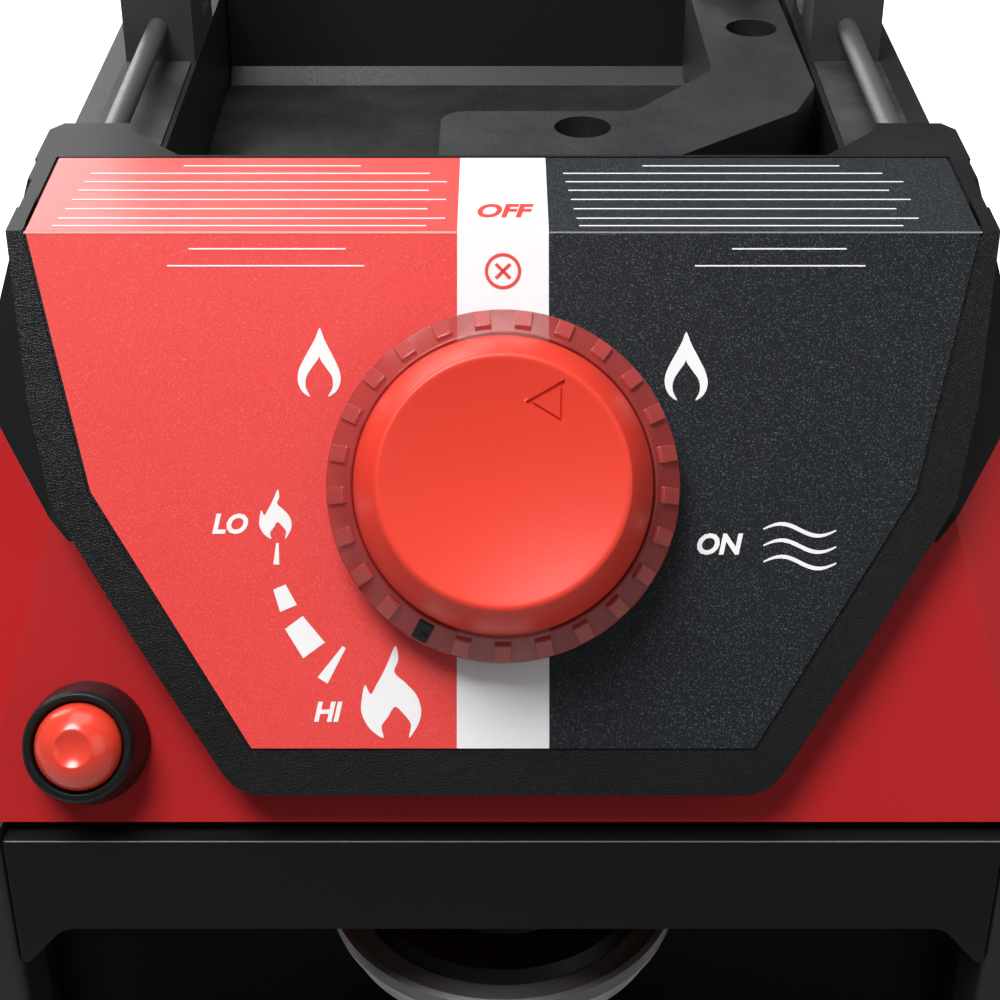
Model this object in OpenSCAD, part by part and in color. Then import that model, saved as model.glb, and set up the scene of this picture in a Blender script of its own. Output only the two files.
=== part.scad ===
// Portable propane heater with a knob panel, an accessory bay and a radiant burner.
// Millimetres, +Z up. The controls face -Y and the radiant burner faces +Y.
// The origin is on the floor, under the middle of the base.

/* [Base] */
// Half width of the body across the legs
body_half_w = 120; // [118:1:124]
// Half depth of the base tray
base_half_d = 142; // [141:1:150]
// Height of the rubber feet
foot_h = 8; // [4:1:12]
// Height of the tray's rim over the feet
tray_h = 12; // [8:1:14]
// Thickness of the moulded walls
wall = 3; // [2.4:0.2:3]
// Thickness of the sheet metal
sheet = 1.2; // [0.8:0.1:1.2]

/* [Control housing] */
// Height of the ledge behind the control panel
ledge_z = 380; // [378:1:382]
// Y of the fold between the ledge and the panel
fold_y = -69.5; // [-70:0.5:-69]
// Angle of the panel's normal above the horizon
panel_tilt = 34; // [34:1:34]
// Half width of the ledge
ledge_half_w = 94; // [93:0.5:95]
// Flare of the housing's sides
flare = 15; // [14:0.5:15]
// Height of the bezel over the red front
bezel_h = 9; // [8:0.5:9]
// Height of the housing's floor
floor_z = 282.5; // [281:0.5:283]
// Y of the housing's rear wall
housing_rear_y = -32.8; // [-33:0.1:-32.6]
// Turn of the corner facets away from the panel
facet_turn = 27; // [22:1:30]

/* [Knob] */
// Distance of the knob's axis below the fold
knob_v = 48.2; // [47:0.1:49]
// Outer radius of the knob's skirt
skirt_r = 32.5; // [31:0.5:33]
// Radius of the cap's side
cap_r = 27.4; // [26:0.2:28]
// Radius of the rim round the dish in the cap's top
rim_r = 22.3; // [21:0.1:24]
// Height of the cap over the panel
knob_top = 25; // [22:0.5:26]
// Depth of the dish in the cap's top
dish_depth = 3; // [1:0.5:3.5]
// Count of lugs on the skirt
lug_count = 26; // [20:1:30]
// Rest angle of the pointer, clockwise from the top
pointer_turn = 31; // [0:1:90]

/* [Igniter] */
// Distance of the igniter from the middle
igniter_u = 78.8; // [77:0.2:80]
// Distance of the igniter below the fold
igniter_v = 96.4; // [95:0.2:97]
// Radius of the button
button_r = 8.2; // [7:0.1:8.3]

/* [Regulator] */
// Y of the regulator's axis
regulator_y = -87.5; // [-88:0.5:-87]
// Height of the regulator's rim
regulator_z = 235; // [233:0.5:236]
// Radius of the regulator's rolled rim
regulator_r = 37.5; // [36:0.5:38]
// Radius of the 1 inch inlet thread
inlet_r = 12.7; // [12.7:0.1:12.7]

/* [Bay and arm] */
// Half width of the accessory bay
bay_half_w = 75; // [74:0.5:76]
// Height of the bay's floor
bay_z = 338.8; // [337:0.2:340]
// Height of the rails beside the bay
rail_z = 365.4; // [364:0.2:366]
// Height of the gas arm's top
arm_z = 371; // [370:0.5:372]
// Radius of the steel rods beside the bay
rod_r = 2.5; // [2:0.1:3]

/* [Burner] */
// Half width of the radiant opening
opening_half_w = 82; // [78:1:84]
// Lower edge of the radiant opening
opening_z0 = 96; // [94:1:98]
// Upper edge of the radiant opening
opening_z1 = 332; // [328:1:332]
// Width of a ceramic plaque
plaque_w = 132; // [124:1:134]
// Height of a ceramic plaque
plaque_h = 92; // [86:1:94]

/* [Handle] */
// Y of the handle's pivot
handle_y = 79; // [78:0.5:80]
// Height of the handle's pivot
handle_z = 412; // [408:1:414]
// Distance from the pivot to the middle of the grip
handle_reach = 98; // [92:1:100]
// Backward lean of the handle on its stop
handle_lean = 12; // [8:1:14]

/* [Hidden] */
$fn = 64;

black_plastic = "#26282a";
red_plastic = "#c42326";
knob_red = "#e8402f";
smoky_red = "#9c2b2b";
dark_steel = "#3a3c3e";
bright_steel = "#b9bcbf";
brass = "#c9a24b";
rubber_black = "#1b1b1c";
copper = "#b8714a";
ceramic_tan = "#e3d3b8";

far = 400;
tray_floor_z = foot_h + 3;
tray_top_z = foot_h + tray_h;
leg_inner_x = 95;
leg_front_y = -127;
frame_y0 = 122;
frame_y1 = 130;
shoulder_y = -15.5;
rail_y0 = housing_rear_y;
flare_run = tan(flare);
pivot_r = 5;
arm_split_z = 358.5;
arm_bottom_z = 346;
arm_wall = 2.5;
arm_wells = [[17.7, 5.0], [61.7, 70.3]];
arm_end = [59.3, 104];
post_x0 = 75.4;
post_x1 = 92.3;
post_y0 = 61.5;
post_y1 = 96.5;
rod_x = 83.9;
rod_z = 374;
plaque_gap = 4;
plenum_y0 = 68;
plenum_y1 = 94;
plaque_mid_z = (opening_z0 + opening_z1) / 2;
mixer = [45, 81];
pilot_x = -40;
pilot_y = 115;
supply_y = -42;
feed_z = 353;
feed_r = 2.2;

// Bezel outline on the panel, right half from the fold down: half width and distance down
bezel_half = [[93.6, -30], [93.4, 0], [89.1, 31.8], [84.6, 51.5], [67.6, 78.5], [49.5, 105.5]];
// Label outline on the panel, the same way
label_half = [[89.7, 0], [84.4, 20.9], [77.1, 49], [46.8, 96.8]];

// ---------- functions ----------

function unit(v) = v / norm(v);

// Half outline mirrored to a closed counter-clockwise outline, with down as -Y
function panel_outline(half) = concat(
  [for (p = half) [-p.x, -p.y]],
  [for (i = [len(half) - 1:-1:0]) [half[i].x, -half[i].y]]);

// Outline moved inward by d
function inset(pts, d) = [
  for (i = [0:len(pts) - 1])
    let (
      n = len(pts),
      a = unit(pts[i] - pts[(i + n - 1) % n]),
      b = unit(pts[(i + 1) % n] - pts[i]),
      na = [-a.y, a.x],
      nb = [-b.y, b.x]
    )
    pts[i] + (na + nb) * d / (1 + na * nb)
];

// Arc that rounds the corner b between a and c
function corner(a, b, c, r, n = 5) =
  let (
    e1 = unit(b - a),
    e2 = unit(c - b),
    turn = atan2(e1.x * e2.y - e1.y * e2.x, e1 * e2),
    start = b - e1 * r * tan(abs(turn) / 2),
    centre = start + sign(turn) * r * [-e1.y, e1.x],
    a0 = atan2(start.y - centre.y, start.x - centre.x)
  )
  r == 0 ? [b] : [for (k = [0:n]) centre + r * [cos(a0 + turn * k / n), sin(a0 + turn * k / n)]];

// Outline with a radius at each corner
function rounded(pts, r) = [
  for (i = [0:len(pts) - 1])
    let (n = len(pts), ri = is_list(r) ? r[i] : r)
    each corner(pts[(i + n - 1) % n], pts[i], pts[(i + 1) % n], ri)
];

// Half width of the flared sides at height z
function slope_x(z) = ledge_half_w + (ledge_z - z) * flare_run;

// Radius of the grip at a distance x from its middle
function grip_r(x) = 11.2 + 1.1 * cos(x * 360 / 24);

function rect(x0, y0, x1, y1) = [[x0, y0], [x1, y0], [x1, y1], [x0, y1]];

// Point on the panel as a place in the part
function panel_point(u, v, n) = [
  u,
  fold_y - v * sin(panel_tilt) - n * cos(panel_tilt),
  ledge_z - v * cos(panel_tilt) + n * sin(panel_tilt)
];

// Points of a helix that starts and ends as a flat turn
function helix(r, z0, z1, turns, steps = 8) = [
  for (i = [0:turns * steps])
    let (
      t = i / steps,
      s = max(0, min(1, (t - 0.75) / (turns - 1.5)))
    )
    [r * cos(360 * t), r * sin(360 * t), z0 + (z1 - z0) * s]
];

// Points of a route with each corner rounded to radius r
function bent(pts, r, n = 4) = [
  for (i = [0:len(pts) - 1])
    each i == 0 || i == len(pts) - 1 ? [pts[i]] : bend_points(pts[i - 1], pts[i], pts[i + 1], r, n)
];

function bend_points(a, b, c, r, n) =
  let (
    e1 = unit(b - a),
    e2 = unit(c - b),
    turn = acos(e1 * e2),
    side = unit(e2 - e1 * (e1 * e2)),
    centre = b - e1 * r * tan(turn / 2) + side * r
  )
  [for (k = [0:n]) centre + r * (sin(turn * k / n) * e1 - cos(turn * k / n) * side)];

// Tangent at each point of a route
function tangents(pts) = [for (i = [0:len(pts) - 1]) unit(pts[min(i + 1, len(pts) - 1)] - pts[max(i - 1, 0)])];

// Side vectors carried along the tangents t without twist, from vector s
function carried(t, s, i = 0) = i == len(t) ? []
  : let (next = unit(s - t[i] * (s * t[i]))) concat([next], carried(t, next, i + 1));

// Least gap between turns of a helix of wire radius w
function helix_gap(pts, w, steps = 8) = min([
  for (i = [0:len(pts) - 1], j = [i + steps - 2:len(pts) - 1])
    if (j < len(pts) && j - i >= steps - 2) norm(pts[j] - pts[i]) - 2 * w
]);

// ---------- placing and shaping ----------

// Children placed on the panel: x across, y up the slope, z out of it
module on_panel(u = 0, v = 0, n = 0) {
  translate(panel_point(u, v, n)) rotate([90 - panel_tilt, 0, 0]) children();
}

module along_x(x0, x1) {
  translate([x0, 0, 0]) rotate([90, 0, 90]) linear_extrude(x1 - x0) children();
}

module along_y(y0, y1) {
  translate([0, y1, 0]) rotate([90, 0, 0]) linear_extrude(y1 - y0) children();
}

module along_z(z0, z1) {
  translate([0, 0, z0]) linear_extrude(z1 - z0) children();
}

// Both a child and its mirror image
module both_sides() {
  children();
  mirror([1, 0, 0]) children();
}

// A large block that lies beyond the plane through p with normal n
module beyond(p, n) {
  translate(p)
    rotate([0, acos(n.z / norm(n)), atan2(n.y, n.x)])
      translate([-far, -far, 0]) cube([2 * far, 2 * far, far]);
}

// Tube of radius r along straight runs with bends of radius bend
module pipe(pts, r, bend) {
  last = len(pts) - 1;
  function trim(i) = i == 0 || i == last ? 0
    : let (turn = acos(unit(pts[i] - pts[i - 1]) * unit(pts[i + 1] - pts[i]))) bend * tan(turn / 2);
  for (i = [0:last - 1]) {
    d = unit(pts[i + 1] - pts[i]);
    a = pts[i] + d * trim(i);
    b = pts[i + 1] - d * trim(i + 1);
    translate(a)
      rotate([0, acos(d.z), atan2(d.y, d.x)])
        cylinder(r = r, h = norm(b - a), $fn = 32);
  }
  for (i = [1:1:last - 1]) {
    a = unit(pts[i] - pts[i - 1]);
    b = unit(pts[i + 1] - pts[i]);
    turn = acos(a * b);
    side = unit(b - a * (a * b));
    start = pts[i] - a * trim(i);
    centre = start + side * bend;
    up = cross(-side, a);
    multmatrix([
      [-side.x, a.x, up.x, centre.x],
      [-side.y, a.y, up.y, centre.y],
      [-side.z, a.z, up.z, centre.z],
      [0, 0, 0, 1]
    ])
      rotate_extrude(angle = turn, $fn = 64) translate([bend, 0]) circle(r = r, $fn = 32);
  }
}

// Wire of radius w swept along points as one closed tube with flat ends
module wire(pts, w, sides = 6) {
  n = len(pts);
  t = tangents(pts);
  seed = abs(t[0].z) > 0.9 ? [1, 0, 0] : [0, 0, 1];
  side = carried(t, seed);
  rings = [
    for (i = [0:n - 1], k = [0:sides - 1])
      pts[i] + w * (cos(360 * k / sides) * side[i] + sin(360 * k / sides) * cross(t[i], side[i]))
  ];
  walls = [
    for (i = [0:n - 2], k = [0:sides - 1])
      let (a = i * sides + k, b = i * sides + (k + 1) % sides)
      each [[a, a + sides, b + sides], [a, b + sides, b]]
  ];
  first = [for (k = [1:sides - 2]) [0, k, k + 1]];
  base = (n - 1) * sides;
  final = [for (k = [1:sides - 2]) [base, base + k + 1, base + k]];
  polyhedron(points = rings, faces = concat(walls, first, final));
}

// ---------- control housing ----------

// Solid outer block of the housing, drawn in by i on every side but the split
module housing_block(i) {
  n = bezel_h + i;
  top = ledge_z - i;
  low = floor_z + i;
  function front_y(z) = fold_y + (n + (z - ledge_z) * sin(panel_tilt)) / cos(panel_tilt);
  side_in = i / cos(flare);
  function half_w(z) = ledge_half_w + (ledge_z - z) * flare_run - side_in;
  difference() {
    intersection() {
      along_x(-far, far)
        polygon([[front_y(low), low], [housing_rear_y - i, low], [housing_rear_y - i, top],
          [front_y(top), top]]);
      along_y(-far, far)
        polygon([[-half_w(low), low], [half_w(low), low], [half_w(top), top], [-half_w(top), top]]);
    }
    both_sides() facet_cut(i);
  }
}

// Corner facet: a plane through two points of the front, turned toward the side
module facet_cut(i) {
  a = panel_point(86.6, 54, -bezel_h);
  c = panel_point(100, 112, -bezel_h);
  run = unit(c - a);
  out = [0, -cos(panel_tilt), sin(panel_tilt)];
  side = cross(out, run);
  n = cos(facet_turn) * out + sin(facet_turn) * side * sign(side.x);
  beyond(a - n * i, n);
}

// Region of the upper housing: everything above the split line, as seen along the panel's normal
module upper_region() {
  split_half = [[130, -60], [130, 22], [102, 29.5], [96.3, 38.8], [86.9, 53.5], [83, 58.2]];
  on_panel(n = -200) linear_extrude(200 - bezel_h + 0.01) polygon(panel_outline(split_half));
}

// Bezel plateau, with its top cut level with the ledge
module bezel(n0, n1, d) {
  difference() {
    on_panel(n = n0) linear_extrude(n1 - n0)
      polygon(rounded(inset(panel_outline(bezel_half), d), [0, 0, 6, 6, 8, 9, 9, 8, 6, 6, 0, 0]));
    translate([-far, -far, ledge_z]) cube([2 * far, 2 * far, far]);
  }
}

// Deep upper sides under the bezel, a little inside it, which meet the facets under the ledge
module bezel_sides() {
  difference() {
    on_panel(n = -34) linear_extrude(33)
      polygon([[-93.2, 30], [-93, 0], [-88.7, -31.4], [88.7, -31.4], [93, 0], [93.2, 30]]);
    translate([-far, -far, ledge_z]) cube([2 * far, 2 * far, far]);
    translate([-far, -40, 0]) cube([2 * far, far, far]);
  }
}

// Inside of the upper housing
module upper_cavity() {
  housing_block(wall);
  bezel(-bezel_h - wall - 1, -wall, wall);
}

module control_recess(grow, depth) {
  outline = inset(panel_outline([[89.7, -0.01], [84.4, 20.9], [77.1, 49], [46.8, 96.8]]), -grow);
  on_panel(n = -depth) linear_extrude(depth + 1) polygon(outline);
  translate([-89.7 - grow, fold_y - 0.2, ledge_z - depth]) cube([179.4 + 2 * grow, 36, 2]);
}

module shoulders() {
  plan = [[66, rail_y0 - 2], [66, housing_rear_y + 0.2], [77, -20], [78.5, shoulder_y],
    [92, shoulder_y], [94.5, -19], [94.5, rail_y0 - 2]];
  both_sides() difference() {
    along_z(rail_z, ledge_z) polygon([for (i = [len(plan) - 1:-1:0]) plan[i]]);
    translate([rod_x, shoulder_y + 1, rod_z]) rotate([90, 0, 0]) cylinder(r = rod_r + 0.05, h = 11);
  }
}

module upper_housing() color(black_plastic) {
  difference() {
    union() {
      intersection() {
        housing_block(0);
        upper_region();
      }
      bezel(-bezel_h, 0, 0);
      bezel_sides();
      shoulders();
    }
    upper_cavity();
    control_recess(0.6, 0.5);
    // Hole for the valve's threaded neck
    on_panel(v = knob_v, n = -20) cylinder(r = 10.1, h = 30);
    // Rear openings for the feed tube and the burner's tubes
    translate([10, 0, feed_z]) rotate([90, 0, 0]) cylinder(r = 3.2, h = 60);
    for (x = [45, -40]) translate([x, 0, 323.3]) rotate([90, 0, 0]) cylinder(r = 4, h = 60);
    translate([-52, 0, 331]) rotate([90, 0, 0]) cylinder(r = 2.4, h = 60);
  }
}

module lower_housing() color(red_plastic) {
  difference() {
    housing_block(0);
    upper_region();
    housing_block(wall);
    // Opening behind the bezel
    on_panel(n = -30) linear_extrude(30) polygon(inset(panel_outline(bezel_half), 9));
    // Igniter hole, which also clears its body through the floor
    on_panel(-igniter_u, igniter_v, -70) cylinder(r = 10.1, h = 90);
    // Supply tube through the floor
    translate([0, supply_y, floor_z - 1]) cylinder(r = 5.2, h = wall + 2);
    // Rear openings for tubes that leave low
    for (x = [45, -40]) translate([x, 0, 323.3]) rotate([90, 0, 0]) cylinder(r = 4, h = 60);
    // Screw holes in the floor
    for (p = housing_screw_places) translate([p.x, p.y, floor_z - 1]) cylinder(r = 2.1, h = wall + 2);
    // Seats of the round side caps
    both_sides() cap_place() translate([0, 0, -1.2]) cylinder(r = 9.3, h = 5);
  }
}

housing_screw_places = [[-62, -48], [62, -48], [-40, -104], [62, -104]];

module housing_screws() color(dark_steel) {
  for (p = housing_screw_places) translate([p.x, p.y, 0]) {
    difference() {
      translate([0, 0, floor_z - 2.4]) cylinder(r = 3.9, h = 2.4);
      translate([-3, -0.5, floor_z - 3]) cube([6, 1, 1.4]);
      translate([-0.5, -3, floor_z - 3]) cube([1, 6, 1.4]);
    }
    translate([0, 0, floor_z]) cylinder(r = 2, h = 8);
  }
}

// Middle of a side cap on the corner facet, z out of it
module cap_place() {
  a = panel_point(86.6, 54, -bezel_h);
  c = panel_point(100, 112, -bezel_h);
  run = unit(c - a);
  out = [0, -cos(panel_tilt), sin(panel_tilt)];
  side_raw = cross(out, run);
  side = side_raw * sign(side_raw.x);
  n = cos(facet_turn) * out + sin(facet_turn) * side;
  across = cos(facet_turn) * side - sin(facet_turn) * out;
  p = a + run * 44 + across * 11.5;
  multmatrix([
    [across.x, run.x, n.x, p.x],
    [across.y, run.y, n.y, p.y],
    [across.z, run.z, n.z, p.z],
    [0, 0, 0, 1]
  ]) children();
}

module side_caps() color(red_plastic) {
  both_sides() cap_place() translate([0, 0, -1.2]) {
    difference() {
      cylinder(r = 9.2, h = 1.6);
      translate([0, 0, 1]) cylinder(r = 7.6, h = 2);
    }
  }
}

module control_label() color("#a82f30") {
  difference() {
    on_panel(n = -0.5) linear_extrude(0.4) polygon(panel_outline(label_half));
    on_panel(v = knob_v, n = -1) cylinder(r = 10.1, h = 2);
  }
  translate([-89.7, fold_y, ledge_z - 0.5]) cube([179.4, 35.4, 0.4]);
}

// ---------- valve and knob ----------

module on_knob(n = 0) {
  on_panel(v = knob_v, n = n) children();
}

module valve_body() color(brass) {
  on_knob() {
    difference() {
      union() {
        translate([-20, -15, -46]) cube([40, 30, 30]);
        translate([0, 0, -16]) cylinder(r = 12, h = 13);
        translate([0, 0, -3.5]) cylinder(r = 9.9, h = 4.5);
      }
      translate([0, 0, -40]) cylinder(r = 8.05, h = 25);
      translate([0, 0, -20]) cylinder(r = 4.06, h = 30);
    }
  }
}

// Tapered plug that the stem turns
module valve_rotor() color(brass) {
  on_knob() difference() {
    translate([0, 0, -39.5]) cylinder(r = 8, h = 12);
    translate([0, 0, -37]) cylinder(r = 4.05, h = 20);
  }
}

module valve_nut() color(dark_steel) {
  on_knob() difference() {
    translate([0, 0, 0.02]) cylinder(r = 14, h = 2.6, $fn = 6);
    translate([0, 0, -1]) cylinder(r = 9.92, h = 5);
  }
}

module valve_stem() color(bright_steel) {
  on_knob() {
    translate([0, 0, -32]) cylinder(r = 4, h = 32 + 18);
    translate([0, 0, -17.55]) cylinder(r = 6.6, h = 2.5);
  }
}

// Return spring between the valve's neck and the hub
module knob_spring() color(bright_steel) {
  pts = helix(7.6, 1.5, 8.4, 3);
  echo(knob_spring_gap = helix_gap(pts, 0.45));
  on_knob() wire(pts, 0.45);
}

// Point on the cap's bulging side, from its foot at 0 to its rim at 1
function cap_side(s) = [
  rim_r + 0.5 + (cap_r - rim_r - 0.5) * (1 - pow(s, 2.2)), 8 + (knob_top - 8.6) * s
];

// Point on the dish at radius r
function dish_point(r) = [r, knob_top - dish_depth * (1 - pow(r / rim_r, 2))];

module knob_cap() color(knob_red) {
  dish = [for (k = [0:6]) dish_point((rim_r - 0.8) * (1 - k / 6))];
  outer = concat(
    [[0, 8.9], [9, 8.9], [9, 18.4], [21, 18.4], [23.4, 16], [24.8, 11], [24.8, 7], [cap_r - 0.2, 7]],
    [for (k = [0:8]) cap_side(k / 8)],
    [[rim_r + 0.3, knob_top - 0.2], [rim_r - 0.2, knob_top]],
    dish
  );
  groove = 0.6;
  on_knob() rotate([0, 0, -pointer_turn]) difference() {
    rotate_extrude($fn = 96) polygon(outer);
    translate([0, 0, 8]) cylinder(r = 4.03, h = 10.2);
    // Engraved outline of the pointer, its tip outward
    intersection() {
      translate([0, 0, knob_top - 4]) linear_extrude(8) difference() {
        pointer(0);
        pointer(0.7);
      }
      rotate_extrude($fn = 96) polygon(concat(
        [for (p = dish) p - [0, groove]], [[0, knob_top + 2], [rim_r - 0.8, knob_top + 2]]
      ));
    }
  }
}

// Pointer triangle with its tip outward
module pointer(d) {
  tip = 21;
  side = 8;
  polygon(inset([[0, tip], [-side / 2, tip - side * cos(30)], [side / 2, tip - side * cos(30)]], d));
}

module knob_skirt() color(smoky_red) {
  seat = cap_r + 0.05;
  top = [seat + 0.5, 11.6];
  profile = [
    [seat - 2, 5.2], [skirt_r, 5.2], [skirt_r, 7.2], top, [seat + 0.02, 11.6], [seat + 0.02, 7], [seat - 2, 7]
  ];
  slot_turn = 209;
  lug_angle = 5.5;
  low = [skirt_r, 7.2];
  along = unit(top - low);
  out = [along.y, -along.x];
  on_knob() rotate([0, 0, -pointer_turn]) difference() {
    union() {
      rotate_extrude($fn = 96) polygon(profile);
      for (i = [0:lug_count - 1]) rotate([0, 0, i * 360 / lug_count - lug_angle / 2])
        rotate_extrude(angle = lug_angle) polygon([
          low + 0.8 * along - 0.5 * out, low + 0.8 * along + 0.8 * out,
          low + 5.3 * along + 0.8 * out, low + 5.3 * along - 0.5 * out
        ]);
    }
    rotate([0, 0, 90 - slot_turn + pointer_turn]) translate([seat - 0.4, -0.9, 8.6]) cube([5, 1.8, 5]);
  }
}

// ---------- igniter ----------

module on_igniter(n = 0) {
  on_panel(-igniter_u, igniter_v, n) children();
}

module igniter_collar() color(black_plastic) {
  on_igniter(-bezel_h) rotate_extrude() polygon([
    [8.5, -wall - 0.1], [9.9, -wall - 0.1], [9.9, 0], [11.7, 0], [11.7, 1.5], [10.4, 10.4], [9.8, 11.2],
      [8.5, 11.2]
  ]);
}

module igniter_body() color(black_plastic) {
  on_igniter(-bezel_h - wall - 0.1) difference() {
    union() {
      translate([0, 0, -3]) cylinder(r = 9.9, h = 3);
      translate([0, 0, -40]) cylinder(r = 9.2, h = 38);
      translate([0, 0, -44]) cylinder(r = 3, h = 5);
    }
    translate([0, 0, -22]) cylinder(r = 8.32, h = 30);
  }
}

module igniter_spring() color(bright_steel) {
  pts = helix(6, -33.4, -22.6, 6);
  echo(igniter_spring_gap = helix_gap(pts, 0.5));
  on_igniter() wire(pts, 0.5);
}

module igniter_button() color(knob_red) {
  on_igniter() {
    translate([0, 0, -22]) cylinder(r = button_r, h = 24);
    intersection() {
      translate([0, 0, 1.99]) cylinder(r = button_r, h = 4.9);
      translate([0, 0, -1.2]) sphere(r = 8.85);
    }
  }
}

module igniter_lead() color(rubber_black) {
  start = panel_point(-igniter_u, igniter_v, -56.1);
  low = panel_point(-igniter_u, igniter_v, -66);
  route = [
    start, low, [-igniter_u, 42, low.z], [-igniter_u, 42, 70], [-28, 42, 70], [-28, pilot_y, 70],
      [-28, pilot_y, 97]
  ];
  wire(bent(route, 7), 1.5, 8);
}

// ---------- regulator ----------

module at_regulator() {
  translate([0, regulator_y, 0]) children();
}

module regulator_body() color("#8d9093") {
  at_regulator() difference() {
    union() {
      rotate_extrude() polygon([
        [0, 219], [20, 219], [31, 222], [34.5, 225], [34.5, 230], [regulator_r - 0.5, 230],
          [regulator_r - 0.5, 231.5], [0, 231.5]
      ]);
      translate([0, 36.6, 226]) rotate([90, 0, 0]) cylinder(r = 5.4, h = 10);
    }
    translate([0, 37, 226]) rotate([90, 0, 0]) cylinder(r = 4.02, h = 8);
  }
}

module regulator_cover() color(bright_steel) {
  z = regulator_z;
  at_regulator() rotate_extrude() polygon([
    [0, z - 3.5], [regulator_r, z - 3.5], [regulator_r + 0.4, z - 2], [regulator_r, z - 0.4],
      [regulator_r - 1.2, z],
    [regulator_r - 2.6, z - 0.8], [31, z - 1.2], [29.5, z + 1.5], [20, z + 2.2], [18.6, z + 5], [9, z + 5.6],
    [8.6, z + 10], [7.4, z + 11], [0, z + 11]
  ]);
}

module regulator_inlet() color(brass) {
  at_regulator() difference() {
    union() {
      translate([0, 0, 190]) cylinder(r = 17, h = 16);
      translate([0, 0, 206]) cylinder(r = 13.8, h = 13);
    }
    translate([0, 0, 189]) cylinder(r = inlet_r, h = 15);
    translate([0, 0, 200]) cylinder(r = 9.02, h = 6.6);
    translate([0, 0, 200]) cylinder(r = 3, h = 14);
  }
}

module inlet_seal() color(rubber_black) {
  at_regulator() translate([0, 0, 204.1]) difference() {
    cylinder(r = 9, h = 2.5);
    translate([0, 0, -1]) cylinder(r = 4.5, h = 5);
  }
}

module supply_tube() color(copper) {
  port = panel_point(0, knob_v, -46);
  low = port.z - (supply_y - port.y) * tan(panel_tilt);
  wire(bent([[0, regulator_y + 29, 226], [0, supply_y, 226], [0, supply_y, low], port], 8), 4, 14);
}

module regulator_bracket() color(dark_steel) {
  difference() {
    union() {
      translate([-16, -50.9, 216]) cube([32, 3, floor_z - 216]);
      translate([-16, -50.9, floor_z - 2]) cube([32, 15, 2]);
    }
    // Notch for the regulator's rim
    at_regulator() translate([0, 0, regulator_z - 5.6]) cylinder(r = regulator_r + 0.8, h = 7);
    translate([0, -40, 226]) rotate([90, 0, 0]) cylinder(r = 5, h = 20);
    translate([0, supply_y, floor_z - 5]) cylinder(r = 5, h = 10);
  }
}

// ---------- base and body ----------

module base_tray() color(black_plastic) {
  hw = body_half_w;
  hd = base_half_d;
  difference() {
    along_z(foot_h, tray_top_z) polygon(rounded(rect(-hw, -hd, hw, hd), 14));
    along_z(tray_floor_z, far) polygon(rounded(rect(-hw + wall, -hd + wall, hw - wall, hd - wall), 11));
  }
  // Ring that locates the cylinder's foot
  at_regulator() difference() {
    translate([0, 0, tray_floor_z - 1]) cylinder(r = 52.8, h = 6);
    translate([0, 0, tray_floor_z - 2]) cylinder(r = 50.6, h = 10);
    translate([-60, -80, 0]) cube([120, 28, 60]);
  }
}

module rubber_feet() color(rubber_black) {
  for (x = [-1, 1], y = [-1, 1]) translate([x * (body_half_w - 22), y * (base_half_d - 22), 0])
    rotate_extrude() polygon([[0, 0], [9, 0], [11, 1.5], [12, foot_h], [0, foot_h]]);
}

// Right side panel: a channel with a front leg, and a sloping wall over it
module side_panel() {
  hw = body_half_w;
  x0 = leg_inner_x;
  y0 = leg_front_y;
  plan = [
    [x0, y0], [hw, y0], [hw, frame_y0], [x0 + 8, frame_y0], [x0 + 8, frame_y0 - wall],
      [hw - wall, frame_y0 - wall],
    [hw - wall, y0 + wall], [x0 + wall, y0 + wall], [x0 + wall, y0 + 16], [x0, y0 + 16]
  ];
  difference() {
    union() {
      along_z(tray_top_z, floor_z) polygon(rounded(plan, [2, 8, 0, 0, 0, 0, 5, 0, 0, 0]));
      // Cap that closes the leg under the housing
      along_z(floor_z - 2.5, floor_z) polygon(rounded([[x0, y0], [hw, y0], [hw, -34], [x0, -34]],
        [2, 8, 0, 0]));
      along_y(rail_y0, frame_y0) polygon([
        [slope_x(floor_z) - 3.2, floor_z - 0.01], [slope_x(floor_z), floor_z - 0.01],
        [slope_x(bay_z), bay_z], [slope_x(bay_z) - 3.2, bay_z]
      ]);
    }
    // Window beside the cylinder
    along_x(hw - 10, hw + 10) polygon(rounded(rect(-104, 62, -46, 232), 12));
    // Cooling slots beside the burner
    for (k = [0:6]) along_x(hw - 10, hw + 10) polygon(rounded(rect(4, 70 + 16 * k, 84, 76 + 16 * k), 2.9));
  }
}

module side_panel_left() color(black_plastic) mirror([1, 0, 0]) side_panel();
module side_panel_right() color(black_plastic) side_panel();

// Band under the red housing, with filleted ends
module front_apron() color(black_plastic) {
  x = leg_inner_x;
  top = 280;
  low = 257.3;
  along_y(leg_front_y - 0.1, leg_front_y + 4) polygon(rounded([
    [-x, low - 9], [-x + 1.5, low - 9], [-x + 9, low], [x - 9, low], [x - 1.5, low - 9], [x, low - 9],
    [x, top], [-x, top]
  ], [0, 0, 5, 5, 0, 0, 0, 0]));
  translate([-x, leg_front_y, top - 2.5]) cube([2 * x, 16, 2.5]);
}

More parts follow.
